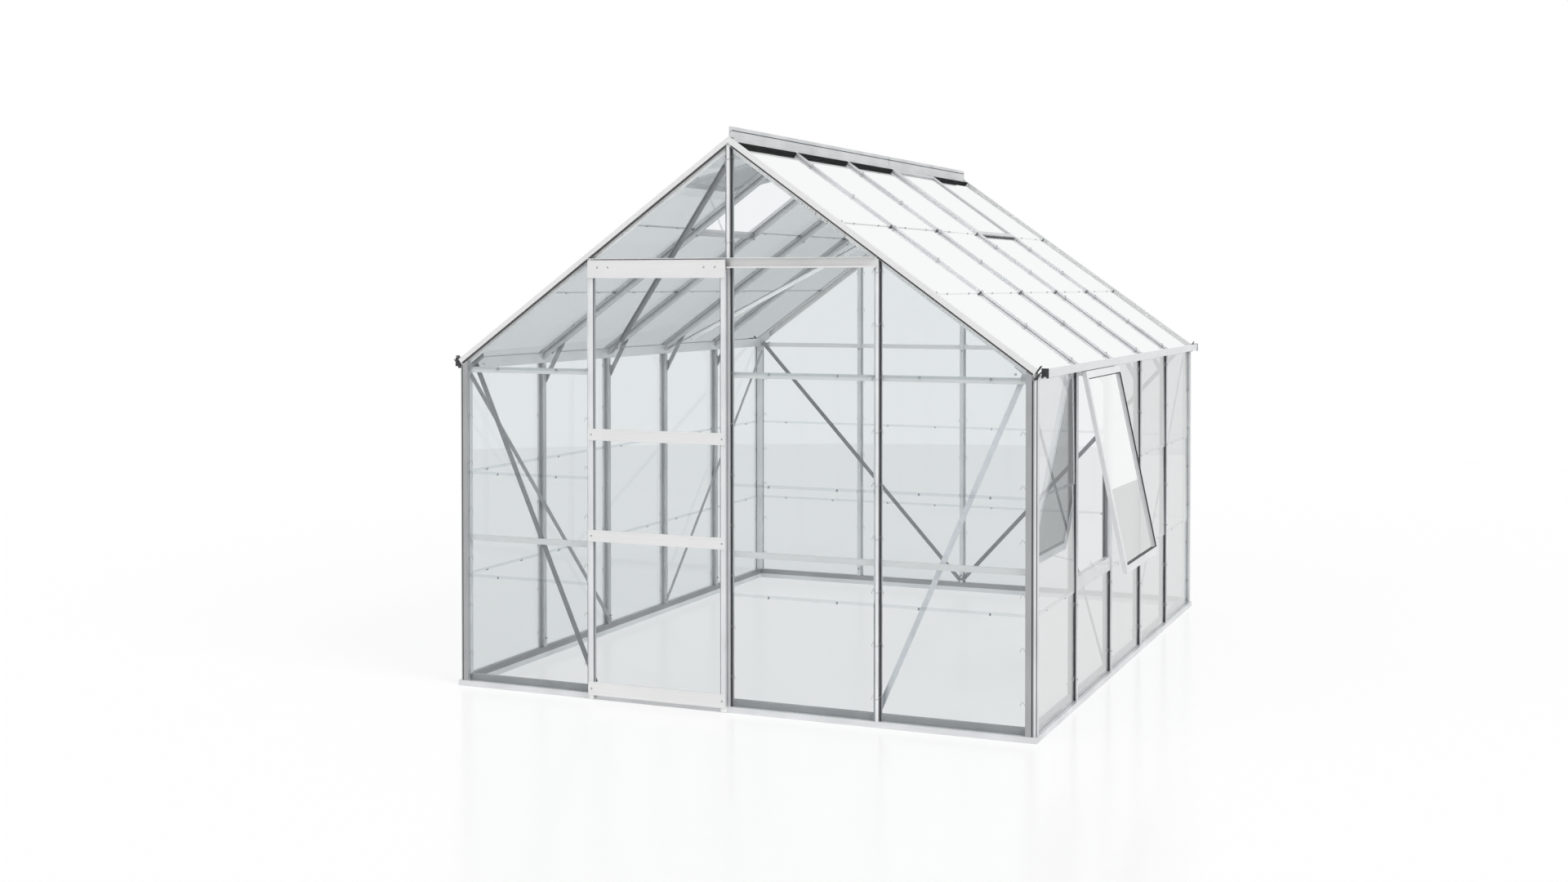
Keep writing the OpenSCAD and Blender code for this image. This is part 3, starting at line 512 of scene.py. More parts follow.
class GREENHOUSE_OT_stage(bpy.types.Operator):
    """Camera, floor, world and lamps."""
    bl_idname = "greenhouse.stage"
    bl_label = "Camera and stage"

    def execute(self, context):
        scene = context.scene
        scene.view_settings.view_transform = "Standard"
        scene.cycles.max_bounces = BOUNCES
        scene.cycles.transmission_bounces = BOUNCES
        scene.cycles.transparent_max_bounces = BOUNCES
        lens = bpy.data.cameras.new("camera")
        lens.sensor_width = SENSOR
        lens.lens = LENS
        lens.shift_x, lens.shift_y = SHIFT
        lens.clip_end = 200.0
        camera = bpy.data.objects.new("camera", lens)
        camera.location = EYE
        camera.rotation_euler = (math.radians(90 - TILT), 0, math.radians(TURN))
        scene.collection.objects.link(camera)
        scene.camera = camera
        self.make_floor()
        self.make_world(scene)
        self.make_lamps(scene)
        return {"FINISHED"}

    def make_floor(self):
        """A wide disc about the house. It is white where nothing shades it, with a faint gloss, and a little
        darker than the world behind it in glass and metal."""
        floor, tree = disc("floor", "white_floor", FLOOR_R, (FRONT_OUT + REAR_OUT) / 2, 0.0, 96)
        path = add(tree, "ShaderNodeLightPath").outputs
        share = maths(tree, "MULTIPLY", seen_by_eye_glass_or_metal(tree, path), 0.8)
        in_glass = maths(tree, "MULTIPLY", path["Is Transmission Ray"], 0.11)
        in_metal = maths(tree, "MULTIPLY", mirrored_only(tree, path), 1 - MIRRORED_FLOOR)
        strength = maths(tree, "SUBTRACT", 1.0, maths(tree, "ADD", in_glass, in_metal))
        lit = add(tree, "ShaderNodeBsdfDiffuse", {"Color": (0.97, 0.97, 0.97, 1)})
        glow = add(tree, "ShaderNodeEmission", {"Color": WHITE, "Strength": strength})
        gloss = add(tree, "ShaderNodeBsdfGlossy", {"Color": WHITE, "Roughness": 0.16})
        top = blended(tree, share, lit.outputs[0], glow.outputs[0])
        show(tree, blended(tree, 0.09, top, gloss.outputs[0]))
        self.make_far_floor()

    def make_far_floor(self):
        """A wider disc just under the floor that only gloss shows, so that metal and glass mirror a
        horizon."""
        far, tree = disc("floor_far", "mirrored_floor", FAR_FLOOR_R, 0.0, -0.004, 48)
        glow = add(tree, "ShaderNodeEmission", {"Strength": MIRRORED_FLOOR}).outputs[0]
        path = add(tree, "ShaderNodeLightPath").outputs
        show(tree, blended(tree, mirrored_only(tree, path), see_through(tree, 1, 1, 1), glow))
        return far

    def make_world(self, scene):
        """White to the camera and in gloss and glass, and a plain grey light on everything else."""
        world = bpy.data.worlds.new("studio")
        world.use_nodes = True
        scene.world = world
        tree = world.node_tree
        seen = seen_by_eye_glass_or_metal(tree, add(tree, "ShaderNodeLightPath").outputs)
        plain = feed(tree, tree.nodes["Background"], {"Color": WHITE, "Strength": 0.46})
        bright = add(tree, "ShaderNodeBackground", {"Color": WHITE, "Strength": 1.0})
        feed(tree, tree.nodes["World Output"],
             {"Surface": blended(tree, seen, plain.outputs[0], bright.outputs[0])})

    def make_lamps(self, scene):
        """A broad soft lamp from the upper right and a weaker one from the left front."""
        for name, (x, y, z), power, spread in (
            ("key", (-0.74, 0.28, -0.61), 2.0, 0.6),
            ("fill", (0.42, 0.76, -0.50), 1.0, 1.0),
        ):
            lamp = bpy.data.lights.new(name, "SUN")
            lamp.energy = power
            lamp.angle = spread
            holder = bpy.data.objects.new(name, lamp)
            holder.rotation_euler = (math.atan2(math.hypot(x, y), -z), 0, math.atan2(-x, y))
            holder.visible_glossy = False
            scene.collection.objects.link(holder)


# ---------------------------------------------------------------- finishes

ALONG_X, ALONG_Y, ALONG_Z = (9, 900, 900), (900, 9, 900), (900, 900, 9)
ALL_WAYS = (60, 60, 60)
ROOF_IOR, WALL_IOR = 1.03, 1.22
ROOF_CUT_SHINE = 0.8
ROOF_LOW, VENT_LOW = 0.76, 0.66
# Painted shade on the side window where other panes mirror it.
WINDOW_PAINTED_MIRROR_SHADE = 0.52


def toned(colour, tone):
    """A colour made brighter or darker."""
    return tuple(tone * v for v in colour)


class GREENHOUSE_OT_finishes(bpy.types.Operator):
    """Materials, and the finish of each part of the frame."""
    bl_idname = "greenhouse.finishes"
    bl_label = "Finishes"

    def execute(self, context):
        c = context.scene.greenhouse_colours
        GROUPS.update(grain=grain_and_painted_shade_group(), speckle=speckle_group(), edges=pane_edge_group())
        light, dark = tuple(c.metal_light), tuple(c.metal_dark)
        for key, way in (("y", ALONG_Y), ("z", ALONG_Z)):
            LOOKS["metal_" + key] = metal("mill_aluminium_" + key, light, dark, way)
        # Painted shade. Each row gives axis, the way in which the shaded side lies; depth, past which it
        # begins; the grain's way; tone, the brightness; and dull, the factor that darkens the shaded side.
        # The shaded sides are the bars' inner halves behind the glass, the front faces of the front posts and
        # the sills' upstands above their feet.
        bars = {
            "front_bars": ((0, -1, 0), -FRONT_SEAT, ALONG_Z, 1.36, 0.66),
            "rear_bars": ((0, 1, 0), REAR_SEAT, ALONG_Z, 1.36, 0.9),
            "left_bars": ((-1, 0, 0), SIDE_SEAT, ALONG_Z, 1.36, 0.7),
            "right_bars": ((1, 0, 0), SIDE_SEAT, ALONG_Z, 1.30, 0.4),
            "left_roof_bars": ((-SLOPE_S, 0, SLOPE_C), SEAT_PEAK * SLOPE_C, ALONG_X, 1.25, 0.82),
            "right_roof_bars": ((SLOPE_S, 0, SLOPE_C), SEAT_PEAK * SLOPE_C, ALONG_X, 1.45, 0.8),
            "cross_sills": ((0, 0, -1), -SILL_LIP_Z, ALONG_X, 1.22, 0.5),
            "side_sills": ((0, 0, -1), -SILL_LIP_Z, ALONG_Y, 1.3, 0.42),
            "stiles": ((0, 0, 0), -1.0, ALONG_Z, 1.28, 1.0),
            "post": ((0, 1, 0), FRONT_OUT + 0.006, ALONG_Z, 1.2, 0.55),
            "ridge": ((0, 0, 0), -1.0, ALONG_Y, 1.1, 1.0),
        }
        for key, (axis, depth, way, tone, dull) in bars.items():
            LOOKS[key] = metal(key + "_aluminium", toned(light, tone), toned(dark, tone), way,
                               metallic=0.4, axis=axis, depth=depth, dull=dull)
        LOOKS["plate"] = metal("door_plate_aluminium", (0.79, 0.79, 0.79), (0.71, 0.71, 0.71), ALONG_X,
                               0.3, 0.5, 0.35)
        LOOKS["bright"] = metal("bright_rail_aluminium", (0.82, 0.83, 0.84), (0.70, 0.71, 0.72), ALONG_Y,
                                0.28, 0.45, 0.45)
        # The stays' white finish, which is also given to one roof brace leg as a painted highlight.
        LOOKS["white_metal"] = metal("stay_aluminium_and_painted_highlight", (0.9, 0.9, 0.9), (0.8, 0.8, 0.8), ALONG_X,
                                     0.3, 0.45, 0.4)
        strip = tuple(c.strip_light)
        LOOKS["strip"] = metal("brace_strip", strip, toned(strip, 0.8), ALL_WAYS, 0.35, 0.55, 0.7)
        # Painted light: the gable braces get a copy of the brace metal 1.6 and 1.35 times brighter, and the
        # part of each where x is less than 0.4 y is darkened to 0.4 as painted shade.
        LOOKS["painted_lit_gable_strip"] = metal("gable_brace_painted_light", toned(strip, 1.6), toned(strip, 1.35), ALL_WAYS,
                                     0.35, 0.55, 0.5, (1, -0.4, 0), 0.0, 0.4)
        LOOKS["steel"] = metal("clip_steel", (0.55, 0.56, 0.57), (0.38, 0.39, 0.4), (200, 200, 200),
                               0.2, 0.35, 0.95)
        rubber = tuple(c.rubber)
        LOOKS["rubber"] = moulded("seal_rubber", rubber, toned(rubber, 0.5), 0.7, shine=0.25)
        # Black rubber, which also serves as painted shadow at the ridge and at the shut vent.
        LOOKS["strip_black"] = moulded("black_rubber_and_painted_shadow", (0.035, 0.035, 0.036), (0.015, 0.015, 0.016),
                                       0.85, shine=0.1)
        LOOKS["black"] = moulded("black_plastic", (0.05, 0.05, 0.055), (0.02, 0.02, 0.022), 0.42,
                                 300.0, 0.0001)
        LOOKS["white"] = moulded("white_nylon", (0.84, 0.84, 0.83), (0.74, 0.74, 0.73), 0.4, 180.0, 0.0001)
        clear, edge = tuple(c.glass_clear), tuple(c.glass_edge)
        panes = {
            "glass_front": ((0, -1, 0), 0.5),
            "glass_rear": ((0, 1, 0), 0.5),
            "glass_left": ((-1, 0, 0), 0.6),
            "glass_right": ((1, 0, 0), 0.6),
            "glass_window": ((math.cos(WINDOW_OPEN), 0, math.sin(WINDOW_OPEN)), 0.92),
            "glass_left_roof": ((-SLOPE_S, 0, SLOPE_C), 0.93),
            "glass_left_vent": ((-math.sin(PITCH - VENT_OPEN), 0, math.cos(PITCH - VENT_OPEN)), 0.93),
            "glass_right_roof": ((SLOPE_S, 0, SLOPE_C), 0.93),
        }
        roof_clear, roof_edge = toned(clear, 0.98), (0.80, 0.84, 0.84)
        for key, (square, shine) in panes.items():
            roof = "roof" in key or "vent" in key
            tints = (roof_clear, roof_edge) if roof else (clear, edge)
            LOOKS[key] = pane_glass(key.replace("glass_", "") + "_panes", square, *tints, shine,
                                    ROOF_IOR if roof else WALL_IOR, ROOF_CUT_SHINE if roof else 0.0,
                                    WINDOW_PAINTED_MIRROR_SHADE if key == "glass_window" else None,
                                    VENT_LOW if "vent" in key else ROOF_LOW if roof else None)
        finish = {
            "metal_y": ("vent_sills", "left_vent_frame", "right_vent_frame"),
            "metal_z": ("corner_plates",),
            "post": ("front_left_post", "front_right_post", "rear_left_post", "rear_right_post"),
            "front_bars": ("front_gable_bars",),
            "rear_bars": ("rear_gable_bars",),
            "left_bars": ("left_wall_bars",),
            "right_bars": ("right_wall_bars",),
            "left_roof_bars": ("left_roof_bars",),
            "right_roof_bars": ("right_roof_bars",),
            "plate": ("door_rails", "gable_rails", "door_track", "front_rafters", "rear_rafters"),
            "cross_sills": ("front_sill", "rear_sill"),
            "side_sills": ("left_sill", "right_sill"),
            "stiles": ("door_stiles",),
            "ridge": ("ridge",),
            "bright": ("side_window_frame", "side_window_rails", "left_gutter", "right_gutter"),
            "strip": ("wall_braces", "roof_braces", "knee_braces"),
            "painted_lit_gable_strip": ("gable_braces",),
            "white_metal": ("side_window_stay", "vent_stays"),
            "black": ("gutter_end_caps",),
            "white": ("door_rollers", "door_guides"),
            "glass_front": ("front_glass", "door_glass"),
            "glass_rear": ("rear_glass",),
            "glass_left": ("left_wall_glass",),
            "glass_right": ("right_wall_glass",),
            "glass_window": ("side_window_glass",),
            "glass_left_roof": ("left_roof_glass",),
            "glass_left_vent": ("left_vent_glass",),
            "glass_right_roof": ("right_roof_glass", "right_vent_glass"),
        }
        for look, nodes in finish.items():
            for node in nodes:
                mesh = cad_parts[node].data
                mesh.materials.clear()
                mesh.materials.append(LOOKS[look])
        return {"FINISHED"}


# ---------------------------------------------------------------- glazing

def glazed_edges():
    """Each side of each rib that has glass beside it: plane, place across, side of the rib, and the stretch
    along the bar."""
    door_top = DOOR_HIGH.z - 0.018
    edges = []
    for plane, xs in (("front", FRONT_XS), ("rear", REAR_XS)):
        for x in xs:
            for side in (-1, 1):
                at_door = plane == "front" and (x, side) in ((FRONT_XS[0], 1), (FRONT_XS[1], -1))
                low = door_top if at_door else SILL_TOP + 0.001
                edges.append((plane, x, side, low, roof_height(x, -0.015)))
    for plane in ("left", "right"):
        for i, y in enumerate(BAR_YS):
            for side in (-1, 1):
                bay = i if side < 0 else i + 1
                high = LAPS[0] - 0.001 if plane == "right" and bay == WINDOW_BAY else WALL_TOP
                edges.append((plane, y, side, SILL_TOP + 0.001, high))
    for plane, vent_bay in (("left_roof", LEFT_VENT_BAY), ("right_roof", RIGHT_VENT_BAY)):
        for i, y in enumerate(BAR_YS):
            for side in (-1, 1):
                bay = i if side < 0 else i + 1
                low = VENT_SILL + 0.018 if bay == vent_bay else 0.029
                edges.append((plane, y, side, low, SLOPE_END - 0.003))
    return edges


# Seals made wider or taller on these planes so that they also stand for the shade in the gaps beside the
# ribs: painted shade as well as rubber.
SEAL_WIDENED_FOR_SHADE = {("front", 1): 2.4, ("front", -1): 1.4}
SEAL_RAISED_FOR_SHADE = {"front": 1.7, "right": 3.3, "right_roof": 1.5, "left_roof": 1.5}


class GREENHOUSE_OT_seals(bpy.types.Operator):
    """Rubber seals beside the ribs, in the posts' grooves and under the rafters. Beside the ribs and in the
    posts' grooves they also stand for the shade in the gaps, so their dark is partly painted shade.
    """
    bl_idname = "greenhouse.seals"
    bl_label = "Glazing seals"

    def execute(self, context):
        sizes = context.scene.greenhouse_sizes
        shapes = {"walls": [], "roof": []}
        for plane, place, side, low, high in glazed_edges():
            basis = PLANES[plane]
            wide, tall = SEAL_WIDENED_FOR_SHADE.get((plane, side), 1.0), SEAL_RAISED_FOR_SHADE.get(plane, 1.0)
            a, b = sorted((side * RIB_W / 2, side * (RIB_W / 2 + wide * sizes.seal_w)))
            ends = on_plane([(place, low, 0), (place, high, 0)], basis)
            key = "roof" if "roof" in plane else "walls"
            sign = np.sign(np.dot(np.cross(basis[2], basis[1]), basis[3]))
            c, d = sorted((sign * 0.0004, sign * tall * sizes.seal_h))
            shapes[key].append(bar_box(a, b, c, d, *ends, basis[1], 0.0009))
        for key, made in shapes.items():
            new_piece("glazing_seals_" + key, joined(made), LOOKS["rubber"])
        posts = []
        top = roof_height(HALF_W, -0.020)
        for x in (-SIDE_SEAT, SIDE_SEAT):
            for y, out in ((FRONT_OUT, 1), (REAR_OUT, -1)):
                posts.append(bar_box(-0.0023, 0.0023, -0.0022, 0.0022, (x, y + out * 0.0036, SILL_TOP),
                                     (x, y + out * 0.0036, top), (1, 0, 0)))
        for x, out in ((-HALF_W, 1), (HALF_W, -1)):
            for y in (FRONT_SEAT, REAR_SEAT):
                posts.append(bar_box(-0.0022, 0.0022, -0.0023, 0.0023, (x + out * 0.0036, y, SILL_TOP),
                                     (x + out * 0.0036, y, top), (1, 0, 0)))
        new_piece("post_seals", joined(posts), LOOKS["rubber"])
        rafters = []
        for plane in ("left_roof", "right_roof"):
            for y in (FRONT_OUT + 0.0045, REAR_OUT - 0.0045):
                ends = on_plane([(y, 0.02, -0.0095), (y, SLOPE_END - 0.024, -0.0095)], PLANES[plane])
                rafters.append(bar_box(-0.0034, 0.0034, -0.0018, 0.0018, *ends, (0, 1, 0)))
        new_piece("rafter_seals", joined(rafters), LOOKS["rubber"])
        return {"FINISHED"}


SHORTEST_CLIPPED = 0.15
UNCLIPPED = 0.12
CLIP_FOOT, CLIP_HEAD = 0.09, 0.05
POST_INSET, POST_CLIP_FOOT = 0.042, 0.12


def wire(points, wire_r):
    """A bent wire through points in millimetres."""
    t = np.arange(6) * math.pi / 3
    ring = np.stack([wire_r * np.cos(t), wire_r * np.sin(t)], -1)
    return sweep(np.array(points) / 1000, ring, (0, 0, 1))


def spring_clip(wire_r):
    """A wire bent to a wide W over a rib: it dips to the glass at both ends and rises over the rib."""
    half = [(-25, -8, 4.3), (-22, 2, 4.3), (-17, 9, 4.6), (-12, 5, 8), (-7.6, -1, 15.2), (-3, -5, 16.2)]
    return wire(half + [(-x, y, z) for x, y, z in half[::-1]], wire_r)


def half_clip(wire_r):
    """A wire hooked in a post's slot that presses on the pane beside it."""
    return wire([(-1, -6, 9), (3, -3, 9), (8, 4, 8.4), (14, 9, 7.4), (19, 2, 7.2), (22, -8, 7.2)], wire_r)


def turned(plane, across=1, up=1, out=1):
    """A plane's directions, with those turned round that are given as minus one."""
    return PLANES[plane][1:] * np.array([[across], [up], [out]])


class GREENHOUSE_OT_spring_clips(bpy.types.Operator):
    """Wire spring clips over the ribs and at the posts."""
    bl_idname = "greenhouse.spring_clips"
    bl_label = "Spring clips"

    def execute(self, context):
        sizes = context.scene.greenhouse_sizes
        places = {"walls": [], "roof": []}
        starts = {}
        for plane, place, side, low, high in glazed_edges():
            starts.setdefault((plane, place), []).append((low, high))
        for (plane, place), stretches in starts.items():
            low = max(s[0] for s in stretches)
            high = min(s[1] for s in stretches)
            if high - low < SHORTEST_CLIPPED:
                continue
            count = max(1, int((high - low - UNCLIPPED) / sizes.clip_pitch) + 1)
            basis = PLANES[plane]
            key = "roof" if "roof" in plane else "walls"
            for v in np.linspace(low + CLIP_FOOT, high - CLIP_HEAD, count):
                places[key].append((on_plane((place, v, 0), basis), basis[1:]))
        for key, where in places.items():
            clips = copies(spring_clip(sizes.wire_d / 2), where)
            new_piece("spring_clips_" + key, clips, LOOKS["steel"], smooth=True)
        rows = [(plane, side * (HALF_W - POST_INSET), -side)
                for plane in ("front", "rear") for side in (-1, 1)]
        rows += [("front", FRONT_XS[0] - RIB_W / 2, -1), ("front", FRONT_XS[1] + RIB_W / 2, 1)]
        rows += [(plane, y, way) for plane in ("left", "right")
                 for y, way in ((FRONT_OUT + POST_INSET, 1), (REAR_OUT - POST_INSET, -1))]
        ends = []
        for plane, place, way in rows:
            for v in np.arange(SILL_TOP + POST_CLIP_FOOT, WALL_TOP, sizes.clip_pitch):
                ends.append((on_plane((place, v, 0), PLANES[plane]), turned(plane, across=way)))
        clips = copies(half_clip(sizes.wire_d / 2), ends)
        new_piece("spring_clips_posts", clips, LOOKS["steel"], smooth=True)
        return {"FINISHED"}


def bays():
    """Each glazed bay: plane, its two sides across, the height of its laps and whether it is cut short."""
    found = []
    for plane, xs in (("front", FRONT_XS), ("rear", REAR_XS)):
        lines = [-SIDE_SEAT] + xs + [SIDE_SEAT]
        for i in range(4):
            laps = list(LAPS) + [WALL_TOP - 0.012]
            if plane == "front" and i == 1:
                laps = []
            found.append((plane, lines[i], lines[i + 1], laps))
    for plane in ("left", "right"):
        for i in range(5):
            laps = [] if plane == "right" and i == WINDOW_BAY else list(LAPS)
            found.append((plane, BAY_LINES[i], BAY_LINES[i + 1], laps))
    for plane, vent_bay in (("left_roof", LEFT_VENT_BAY), ("right_roof", RIGHT_VENT_BAY)):
        for i in range(5):
            laps = [ROOF_LAPS[1]] if i == vent_bay else list(ROOF_LAPS)
            found.append((plane, BAY_LINES[i], BAY_LINES[i + 1], laps))
    return found


class GREENHOUSE_OT_lap_clips(bpy.types.Operator):
    """Z-shaped clips that hold each pane's lower edge over the pane below."""
    bl_idname = "greenhouse.lap_clips"
    bl_label = "Lap clips"

    def execute(self, context):
        w = context.scene.greenhouse_sizes.lap_clip_w
        hook = np.array([(0, 8, -0.9), (0, 5, -0.9), (0, 1, -0.9), (0, -1.2, 0.4), (0, -1.4, 3.6),
                         (0, -1.2, 6.6), (0, 0.4, 7.2), (0, 3, 7.1)]) / 1000
        clip = sweep(hook, rounded(-w / 2, w / 2, -0.0005, 0.0005, 0.0002), (1, 0, 0))
        wide = sweep(hook, rounded(-0.008, 0.008, -0.0005, 0.0005, 0.0002), (1, 0, 0))
        wide = (wide[0] * (1, 1.3, 1.5), wide[1])
        places, ends = [], []
        for plane, low, high, laps in bays():
            roof = "roof" in plane
            basis = turned(plane, up=-1 if roof else 1)
            for lap in laps:
                for share in (0.27, 0.73):
                    places.append((on_plane((low + share * (high - low), lap, 0), PLANES[plane]), basis))
                if roof:
                    for y in (low + 0.020, high - 0.020):
                        ends.append((on_plane((y, lap, 0), PLANES[plane]), basis))
        new_piece("lap_clips", copies(clip, places), LOOKS["steel"])
        new_piece("roof_end_clips", copies(wide, ends), LOOKS["rubber"])
        return {"FINISHED"}


# ---------------------------------------------------------------- bolts

def bolt_shape(r):
    """A nut with a bolt's end standing out of it, along the third axis."""
    nut = revolve([(0.7 * r, 0), (r, 0.0006), (r, 0.0042), (0.82 * r, 0.005)], (0, 0, 0), (0, 0, 1), 6)
    end = revolve([(0.45 * r, 0.004), (0.45 * r, 0.0082), (0.3 * r, 0.0092)], (0, 0, 0), (0, 0, 1), 8)
    return joined([nut, end])


GABLE_PLATE_BOLTS = ((1.225, 1.362), (1.185, 1.392))
GABLE_RAIL_Z = 0.642
SILL_BOLTS = (0.09, 0.115)


class GREENHOUSE_OT_bolts(bpy.types.Operator):
    """Nuts on the channels, plates and rails inside the house."""
    bl_idname = "greenhouse.bolts"
    bl_label = "Bolts"

    def execute(self, context):
        r = context.scene.greenhouse_sizes.bolt_r
        shape = bolt_shape(r)
        places = []

        def inside(plane, across, up, depth):
            places.append((on_plane((across, up, -depth), PLANES[plane]), turned(plane, out=-1)))

        for plane, xs in (("front", FRONT_XS), ("rear", REAR_XS)):
            for x in xs:
                for up in SILL_BOLTS:
                    inside(plane, x, up, BAR_D)
                inside(plane, x, WALL_TOP - 0.02, BAR_D)
                if plane == "front":
                    inside(plane, x, GABLE_RAIL_Z, BAR_D)
            for side in (-1, 1):
                for across, up in GABLE_PLATE_BOLTS:
                    inside(plane, side * across, up, BAR_D + 0.002)
        for plane in ("left", "right"):
            for y in BAR_YS:
                inside(plane, y, SILL_BOLTS[0], BAR_D)
                inside(plane, y, WALL_TOP - 0.05, BAR_D)
        for plane in ("left_roof", "right_roof"):
            for y in BAR_YS:
                inside(plane, y, 0.050, BAR_D + 0.003)
                inside(plane, y, VENT_SILL, BAR_D)
                inside(plane, y, SLOPE_END - 0.09, BAR_D)
        new_piece("frame_bolts", copies(shape, places), LOOKS["steel"])
        return {"FINISHED"}


class GREENHOUSE_OT_brace_legs(bpy.types.Operator):
    """The standing legs that make angles of the flat roof braces. The rear leg on the left slope gets the
    bright stay finish as a painted highlight.
    """
    bl_idname = "greenhouse.brace_legs"
    bl_label = "Brace legs"

    def execute(self, context):
        legs = {"plain": [], "lit": []}
        top_s, foot_s = 0.046, SLOPE_END - 0.062
        middle = -BAR_D - 0.005 - 0.011
        for plane in ("left_roof", "right_roof"):
            for y0, y1 in ((FRONT_OUT + 0.066, BAR_YS[1]), (REAR_OUT - 0.066, BAR_YS[2])):
                top, foot = np.array([y0, top_s, middle]), np.array([y1, foot_s, middle])
                ends = on_plane([top + 0.04 * (foot - top), top + 0.93 * (foot - top)], PLANES[plane])
                # Painted highlight: the rear leg on the left slope is made bright.
                key = "lit" if plane == "left_roof" and y0 > BAR_YS[1] else "plain"
                legs[key].append(bar_box(-0.011, 0.011, -0.001, 0.001, *ends, PLANES[plane][3]))
        new_piece("roof_brace_legs", joined(legs["plain"]), LOOKS["strip"])
        new_piece("rear_brace_leg_painted_highlight", joined(legs["lit"]), LOOKS["white_metal"])
        return {"FINISHED"}


# ---------------------------------------------------------------- door

def screw_shape(r):
    """A low domed screw head, along the third axis."""
    t = np.linspace(0, math.pi / 2, 5)
    return revolve(np.stack([r * np.cos(t), 0.3 * r * np.sin(t)], -1)[:-1], (0, 0, 0), (0, 0, 1), 12)


PLATE_LOW, PLATE_MIDDLE, PLATE_HIGH = (0.022, 0.078), (0.664, 0.712), (1.086, 1.134)
TOP_PLATE_H = 0.074
LIP_IN = 0.0035


class GREENHOUSE_OT_door(bpy.types.Operator):
    """Screws, brush strips and glazing beads on the sliding door."""
    bl_idname = "greenhouse.door"
    bl_label = "Door fittings"

    def execute(self, context):
        front = np.array([(1, 0, 0), (0, 0, 1), (0, -1, 0)], float)
        y = DOOR_LOW.y
        left, right = DOOR_LOW.x, DOOR_HIGH.x
        places = []
        for x in (left + 0.045, left + 0.095, right - 0.095, right - 0.045):
            places.append(((x, y, DOOR_HIGH.z - 0.030), front))
        for z0, z1 in (PLATE_MIDDLE, PLATE_HIGH, PLATE_LOW):
            for x in (left + 0.015, right - 0.015):
                places.append(((x, y, (z0 + z1) / 2), front))
        screws = copies(screw_shape(0.0045), places)
        new_piece("door_screws", screws, LOOKS["steel"], body="door", smooth=True)
        stiles_low, stiles_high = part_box("door_stiles")
        beads = []
        glass_low, glass_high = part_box("door_glass")
        for x in (glass_low.x + 0.0013, glass_high.x - 0.0013):
            beads.append(bar_box(-0.0015, 0.0015, -0.0012, 0.0012,
                                 (x, stiles_low.y + 0.0028, stiles_low.z + 0.05),
                                 (x, stiles_low.y + 0.0028, stiles_high.z - 0.02), (1, 0, 0)))
        lips = []
        top_plate = (DOOR_HIGH.z - TOP_PLATE_H, DOOR_HIGH.z)
        for z0, z1 in (top_plate, PLATE_HIGH, PLATE_MIDDLE, PLATE_LOW):
            for z in (z0 + LIP_IN, z1 - LIP_IN):
                lips.append(bar_box(-0.0006, 0.0006, -0.0032, 0.0032,
                                    (left + 0.001, y, z), (right - 0.001, y, z), (0, 1, 0)))
        new_piece("door_plate_lips", joined(lips), LOOKS["plate"], body="door")
        new_piece("door_beads", joined(beads), LOOKS["rubber"], body="door")
        brush = []
        for x in (stiles_low.x + 0.004, stiles_high.x - 0.004):
            brush.append(bar_box(-0.002, 0.002, -0.003, 0.003,
                                 (x, stiles_high.y + 0.0032, stiles_low.z + 0.01),
                                 (x, stiles_high.y + 0.0032, stiles_high.z - 0.01), (1, 0, 0)))
        new_piece("door_brush_strips", joined(brush), LOOKS["rubber"], body="door")
        return {"FINISHED"}


# ---------------------------------------------------------------- window and vents

WINDOW_L, WINDOW_RAIL = 0.837, 0.030
BAY_EDGE = 0.0108
VENT_SHADOW_LINE_UP = 0.0112


class GREENHOUSE_OT_window(bpy.types.Operator):
    """Seals round the panes of the side window, and the pegs of the window's stay."""
    bl_idname = "greenhouse.window"
    bl_label = "Window fittings"

    def execute(self, context):
        low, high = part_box("side_window_frame")
        down = np.array([math.sin(WINDOW_OPEN), 0, -math.cos(WINDOW_OPEN)])
        out = np.array([math.cos(WINDOW_OPEN), 0, math.sin(WINDOW_OPEN)])
        along = np.array([0, 1.0, 0])
        hinge = np.array([WINDOW_HINGE[0], 0, WINDOW_HINGE[1]]) + 0.0186 * out
        shapes = [bar_box(-0.0095, 0.0095, -0.0010, 0.0010, hinge + (high.y - 0.017) * along + 0.034 * down,
                          hinge + (high.y - 0.017) * along + (WINDOW_L - WINDOW_RAIL) * down, along)]
        for share, half in ((WINDOW_RAIL + 0.0025, 0.0018), (WINDOW_L - WINDOW_RAIL - 0.0022, 0.0020)):
            row = hinge + share * down
            shapes.append(bar_box(-0.0010, 0.0010, -half, half, row + (low.y + WINDOW_RAIL) * along,
                                  row + (high.y - 0.008) * along, out))
        new_piece("window_seals", joined(shapes), LOOKS["strip_black"])
        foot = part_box("side_window_stay")
        pegs = []
        for y in (foot[0].y + 0.004, foot[1].y - 0.004):
            outline = [(0.0030, 0), (0.0030, 0.012), (0.0042, 0.013), (0.0042, 0.016), (0.002, 0.0175)]
            pegs.append(revolve(outline, (foot[0].x + 0.006, y, foot[0].z + 0.004), (0, 0, 1), 12))
        new_piece("stay_pegs", joined(pegs), LOOKS["white"])
        return {"FINISHED"}


